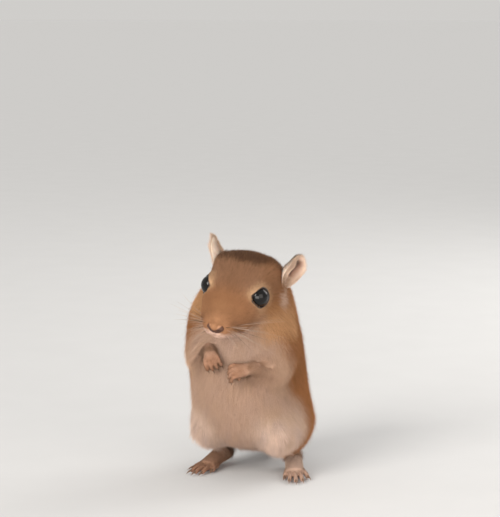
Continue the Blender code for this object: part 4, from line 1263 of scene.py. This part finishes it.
def ear_coat(side):
    """Down on both faces of an ear, long hairs on its front roll and a fringe on its rim."""
    ear = Ear(side)
    chance = np.random.default_rng(SEED + 50 + side)
    shapes, tints, roots = [], [], []
    # count, share from and to, depth, length, lean off the face, how far to the front
    kinds = [
        (2600, 0.20, 1.0, 0, 0.8, 0.14, 1.0),
        (1500, 0.20, 0.95, 0, 1.8, 0.20, 0.10),
        (3800, 0.15, 1.0, 1, 1.6, -0.16, 1.0),
        (1600, 0.95, 1.02, 0.5, 1.2, 0.05, 1.0),
    ]
    for count, low, high, depth, long, lean, most in kinds:
        share = np.sqrt(chance.uniform(low**2, high**2, count * 3))
        turn = chance.uniform(0, 2 * math.pi, count * 3)
        gap = ear.slit(share * np.sin(turn), share * np.cos(turn)) * (depth == 0)
        kept = np.where((share * np.cos(turn) < most) & (gap < 0.3))[0][:count]
        share, turn, count = share[kept], turn[kept], len(kept)
        place = ear.sheet(share, turn, depth)
        outer = unit(ear.sheet(share + 0.02, turn, depth) - place)
        lie = unit(outer + ear.axis * 1.2 + chance.normal(0, 0.18, (count, 3)))
        length = long * chance.uniform(0.6, 1.2, (count, 1, 1))
        t = np.array([-0.06, 1.0])[None, :, None]
        rings = place[:, None] + (lie[:, None] * t + ear.face * lean * np.abs(t)) * length
        faced = unit(ear.face * np.sign(lean) + ear.axis * 0.9)
        normals = np.broadcast_to(faced, (count, 2, 3))
        shapes.append(tuft_mesh(rings, normals, np.full(count, 0.075)))
        shade = ear.colour(share, turn, np.full(count, float(depth == 1)))
        shade = mix(shade, EAR_DOWN, 0.15) * chance.normal(1, 0.08, (count, 1))
        tints.append(np.repeat(shade, 4, axis=0))
        flat = np.stack([share * np.cos(turn), share * np.sin(turn)], 1)
        roots.append(np.array([0.14 + 0.24 * len(roots), 0.5]) + flat * 0.11)
    points, faces = joined([shape[:2] for shape in shapes])
    name = f"coat_ear_{SIDE_NAME[side]}"
    piece = mesh_piece(name, from_head(points), faces, coat_material, "ear_skin")
    soften(piece, np.vstack([shape[2] for shape in shapes]) @ HEAD_ROTATION.T)
    paint(piece, np.clip(np.vstack(tints), 0, 1))
    map_tufts(piece, np.vstack(roots), [(0, 0), (1, 0), (0.5, 0), (0.5, 1)])


def claw_piece():
    """All the claws: hooked cones that grow from the ends of toes and fingers."""
    shapes = []
    t = np.linspace(-0.25, 1, 12)
    for end, ahead, droop, (length, thick) in claw_lines():
        hook = 0.34 * length * np.clip(t, 0, 1) ** 2
        path = end + np.outer(t * length, ahead) + np.outer(hook, droop)
        path[:, 2] = np.maximum(path[:, 2], CLAW_CLEAR)
        radii = thick * (1 - np.clip(t, 0, 1) ** 1.4) + 0.03
        shapes.append(round_tube(path, radii, 10))
    mesh_piece("claws", *joined(shapes), claw_material, "tail_tuft")


def whisker_piece():
    """Whiskers on each side: thin tapering tubes that curve out and back from the lip."""
    chance = np.random.default_rng(SEED + 90)
    shapes, tints = [], []
    t = np.linspace(0, 1, 14)
    dark, pale = mix(*DARK_WHISKER, ramp(0.2, 0.8, t)), mix(*PALE_WHISKER, t)
    for side in SIDES:
        for row in range(4):
            for k in range(5):
                root = np.array([2.7 + 0.62 * k, -15.2 + 0.75 * k, -6.4 - 0.75 * row])
                root = root + chance.normal(0, 0.12, 3)
                length = (9.0 + 2.2 * k - 0.9 * row) * chance.uniform(0.85, 1.1)
                out = unit([1.0, -0.38 + 0.16 * k, 0.30 - 0.30 * row]) + chance.normal(0, 0.07, 3)
                bend = np.outer(t**2 * length * 0.34, (-0.1, 0.75, -0.45 - 0.1 * row))
                path = on_side(root + np.outer(t * length, out) + bend, side)
                shapes.append(round_tube(path, 0.048 * (1 - t) ** 0.8 + 0.010, 5))
                shade = pale if (k + row) % 3 else dark
                tints.append(np.vstack([np.repeat(shade, 5, axis=0), shade[:1], shade[-1:]]))
    points, faces = joined(shapes)
    piece = mesh_piece("whiskers", from_head(points), faces, coat_material, "golden_coat")
    paint(piece, np.vstack(tints))


def add_node(tree, kind, inputs=None, **settings):
    """A node with its settings, and for each input a value or the socket that feeds it."""
    made = tree.nodes.new(f"ShaderNode{kind}")
    for label, value in settings.items():
        setattr(made, label, value)
    for label, value in (inputs or {}).items():
        if isinstance(value, bpy.types.NodeSocket):
            tree.links.new(value, made.inputs[label])
        else:
            made.inputs[label].default_value = value
    return made


def mottle_group():
    """Breaks a colour into small lighter and darker flecks, in Object coordinates."""
    tree = bpy.data.node_groups.new("Mottled coat", "ShaderNodeTree")
    sockets = {"Colour": (0.5, 0.3, 0.2, 1), "Fleck size": 900.0, "Fleck depth": 0.25}
    for label, value in sockets.items():
        kind = "NodeSocketColor" if label == "Colour" else "NodeSocketFloat"
        tree.interface.new_socket(label, in_out="INPUT", socket_type=kind).default_value = value
    tree.interface.new_socket("Colour", in_out="OUTPUT", socket_type="NodeSocketColor")
    tree.interface.new_socket("Height", in_out="OUTPUT", socket_type="NodeSocketFloat")
    given = tree.nodes.new("NodeGroupInput").outputs
    end = tree.nodes.new("NodeGroupOutput")
    where = add_node(tree, "TexCoord").outputs["Object"]
    flecks = {"Vector": where, "Scale": given["Fleck size"], "Detail": 3.0}
    noise = add_node(tree, "TexNoise", flecks).outputs["Fac"]
    centred = add_node(tree, "Math", {0: noise, 1: 0.5}, operation="SUBTRACT")
    scaling = {0: centred.outputs[0], 1: given["Fleck depth"], 2: 1.0}
    scaled = add_node(tree, "Math", scaling, operation="MULTIPLY_ADD")
    lighting = {0: given["Colour"], "Scale": scaled.outputs[0]}
    lit = add_node(tree, "VectorMath", lighting, operation="SCALE")
    tree.links.new(lit.outputs[0], end.inputs["Colour"])
    tree.links.new(noise, end.inputs["Height"])
    return tree


def finish(name, colour=None, fleck=(900.0, 0.25), bump=0.0, **sockets):
    """A mottled material whose colour is fixed, or is read from the piece's attribute."""
    made = bpy.data.materials.new(name)
    made.use_nodes = True
    tree = made.node_tree
    shader = tree.nodes["Principled BSDF"].inputs
    for label, value in sockets.items():
        shader[label.replace("_", " ")].default_value = value
    if colour is None:
        colour = add_node(tree, "Attribute", attribute_name="coat").outputs["Color"]
    values = {"Colour": colour, "Fleck size": fleck[0], "Fleck depth": fleck[1]}
    mottle = add_node(tree, "Group", values, node_tree=MOTTLE)
    tree.links.new(mottle.outputs["Colour"], shader["Base Color"])
    if bump:
        values = {"Strength": bump, "Distance": 0.0002, "Height": mottle.outputs["Height"]}
        tree.links.new(add_node(tree, "Bump", values).outputs["Normal"], shader["Normal"])
    return made


def stage_floor():
    """A pale floor: a very wide flat square under the animal."""
    half = 40.0
    mesh = bpy.data.meshes.new("floor")
    points = [(-half, -half, 0), (half, -half, 0), (half, half, 0), (-half, half, 0)]
    mesh.from_pydata(points, [], [(0, 1, 2, 3)])
    mesh.materials.append(floor_material)
    placed("floor", mesh)


def to_metres(point):
    """A point of the animal's frame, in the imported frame."""
    return Vector((np.array(point, float) + SHIFT) * MM)


def add_camera():
    """The camera on the photo's line of sight, its centre on the photo's centre."""
    azimuth, elevation = math.radians(VIEW_AZIMUTH), math.radians(VIEW_ELEVATION)
    out = Vector((math.sin(azimuth), -math.cos(azimuth), 0)) * math.cos(elevation)
    out.z = math.sin(elevation)
    data = bpy.data.cameras.new("camera")
    data.sensor_fit = "HORIZONTAL"
    data.sensor_width = 36
    data.lens = data.sensor_width * VIEW_DISTANCE / VIEW_WIDTH
    data.clip_start, data.clip_end = 0.01, 200
    camera = placed("camera", data)
    camera.location = to_metres(VIEW_CENTRE) + out * VIEW_DISTANCE * MM
    camera.rotation_euler = (-out).to_track_quat("-Z", "Y").to_euler()
    bpy.context.scene.camera = camera


def add_light(name, kind, place, aim, spread, power, colour):
    """A light that looks at a point: a sun of an angle, or a soft square of a width."""
    data = bpy.data.lights.new(name, kind)
    data.energy, data.color = power, colour
    setattr(data, "angle" if kind == "SUN" else "size", spread)
    light = placed(name, data)
    light.location = to_metres(place)
    aim = to_metres(aim) - light.location
    light.rotation_euler = aim.to_track_quat("-Z", "Y").to_euler()


def light_studio():
    """A broad key light from the camera's left, soft fills and a pale dim sky.

    The floor's colour is such that it meets the sky softly from the photo's side, not from behind.
    """
    world = bpy.data.worlds.new("studio")
    world.use_nodes = True
    sky = world.node_tree.nodes["Background"].inputs
    sky["Color"].default_value = (0.95, 0.93, 0.90, 1)
    sky["Strength"].default_value = 0.66
    bpy.context.scene.world = world
    chest, belly = (0, -5, 45), (0, 0, 40)
    add_light("key", "SUN", (-380, -1000, 600), belly, math.radians(30), 2.15, (1.0, 0.96, 0.90))
    add_light("fill", "AREA", (520, -420, 200), chest, 0.5, 1.8, (1.0, 0.93, 0.86))
    add_light("low", "AREA", (70, -380, 40), chest, 0.25, 1.15, (1.0, 0.93, 0.87))
    add_light("rim", "AREA", (350, 480, 380), chest, 0.4, 1.8, (1.0, 0.97, 0.93))
    bpy.context.scene.view_settings.view_transform = "Standard"


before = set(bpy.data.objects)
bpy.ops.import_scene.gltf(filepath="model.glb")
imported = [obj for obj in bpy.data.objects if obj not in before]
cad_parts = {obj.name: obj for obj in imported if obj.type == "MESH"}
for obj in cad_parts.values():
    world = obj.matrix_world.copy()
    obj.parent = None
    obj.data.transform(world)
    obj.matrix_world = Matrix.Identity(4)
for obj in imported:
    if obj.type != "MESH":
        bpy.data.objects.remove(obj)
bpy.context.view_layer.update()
SHIFT = frame_shift()
MOTTLE = mottle_group()
coat_material = finish("coat", fleck=(1800.0, 0.25), Roughness=0.8, Specular_IOR_Level=0.06)
skin_material = finish("skin", fleck=(1500.0, 0.4), bump=0.5, Roughness=0.8, Specular_IOR_Level=0.2)
nose_material = finish("nose", fleck=(2600.0, 0.5), bump=0.3, Roughness=0.5, Specular_IOR_Level=0.25)
lid_material = finish("lids", fleck=(1500.0, 0.5), bump=0.3, Roughness=0.45)
ear_material = finish(
    "ear_skin", fleck=(1200.0, 0.3), bump=0.3, Roughness=0.55, Subsurface_Weight=0.25,
    Subsurface_Radius=(0.0012, 0.0005, 0.0003), Subsurface_Scale=1.0,
)
claw_material = finish("claws", (0.16, 0.095, 0.06, 1), fleck=(1200.0, 0.5), Roughness=0.32)
eye_material = finish(
    "eyes", (0.004, 0.0036, 0.0036, 1), fleck=(400.0, 0.8), Roughness=0.08, Specular_IOR_Level=0.3
)
floor_material = finish(
    "floor", (0.652, 0.656, 0.663, 1), fleck=(40.0, 0.05), Roughness=1.0, Specular_IOR_Level=0.02
)

stage_floor()
add_camera()
light_studio()
skin = Skin()
colours = markings(skin.points, skin.group)
skin_piece(skin, colours)
for side in SIDES:
    eye_piece(side)
    lid_piece(side, skin)
    ear_piece(side)
    ear_coat(side)
nose_piece()
claw_piece()
whisker_piece()
grow_coat(skin, colours)
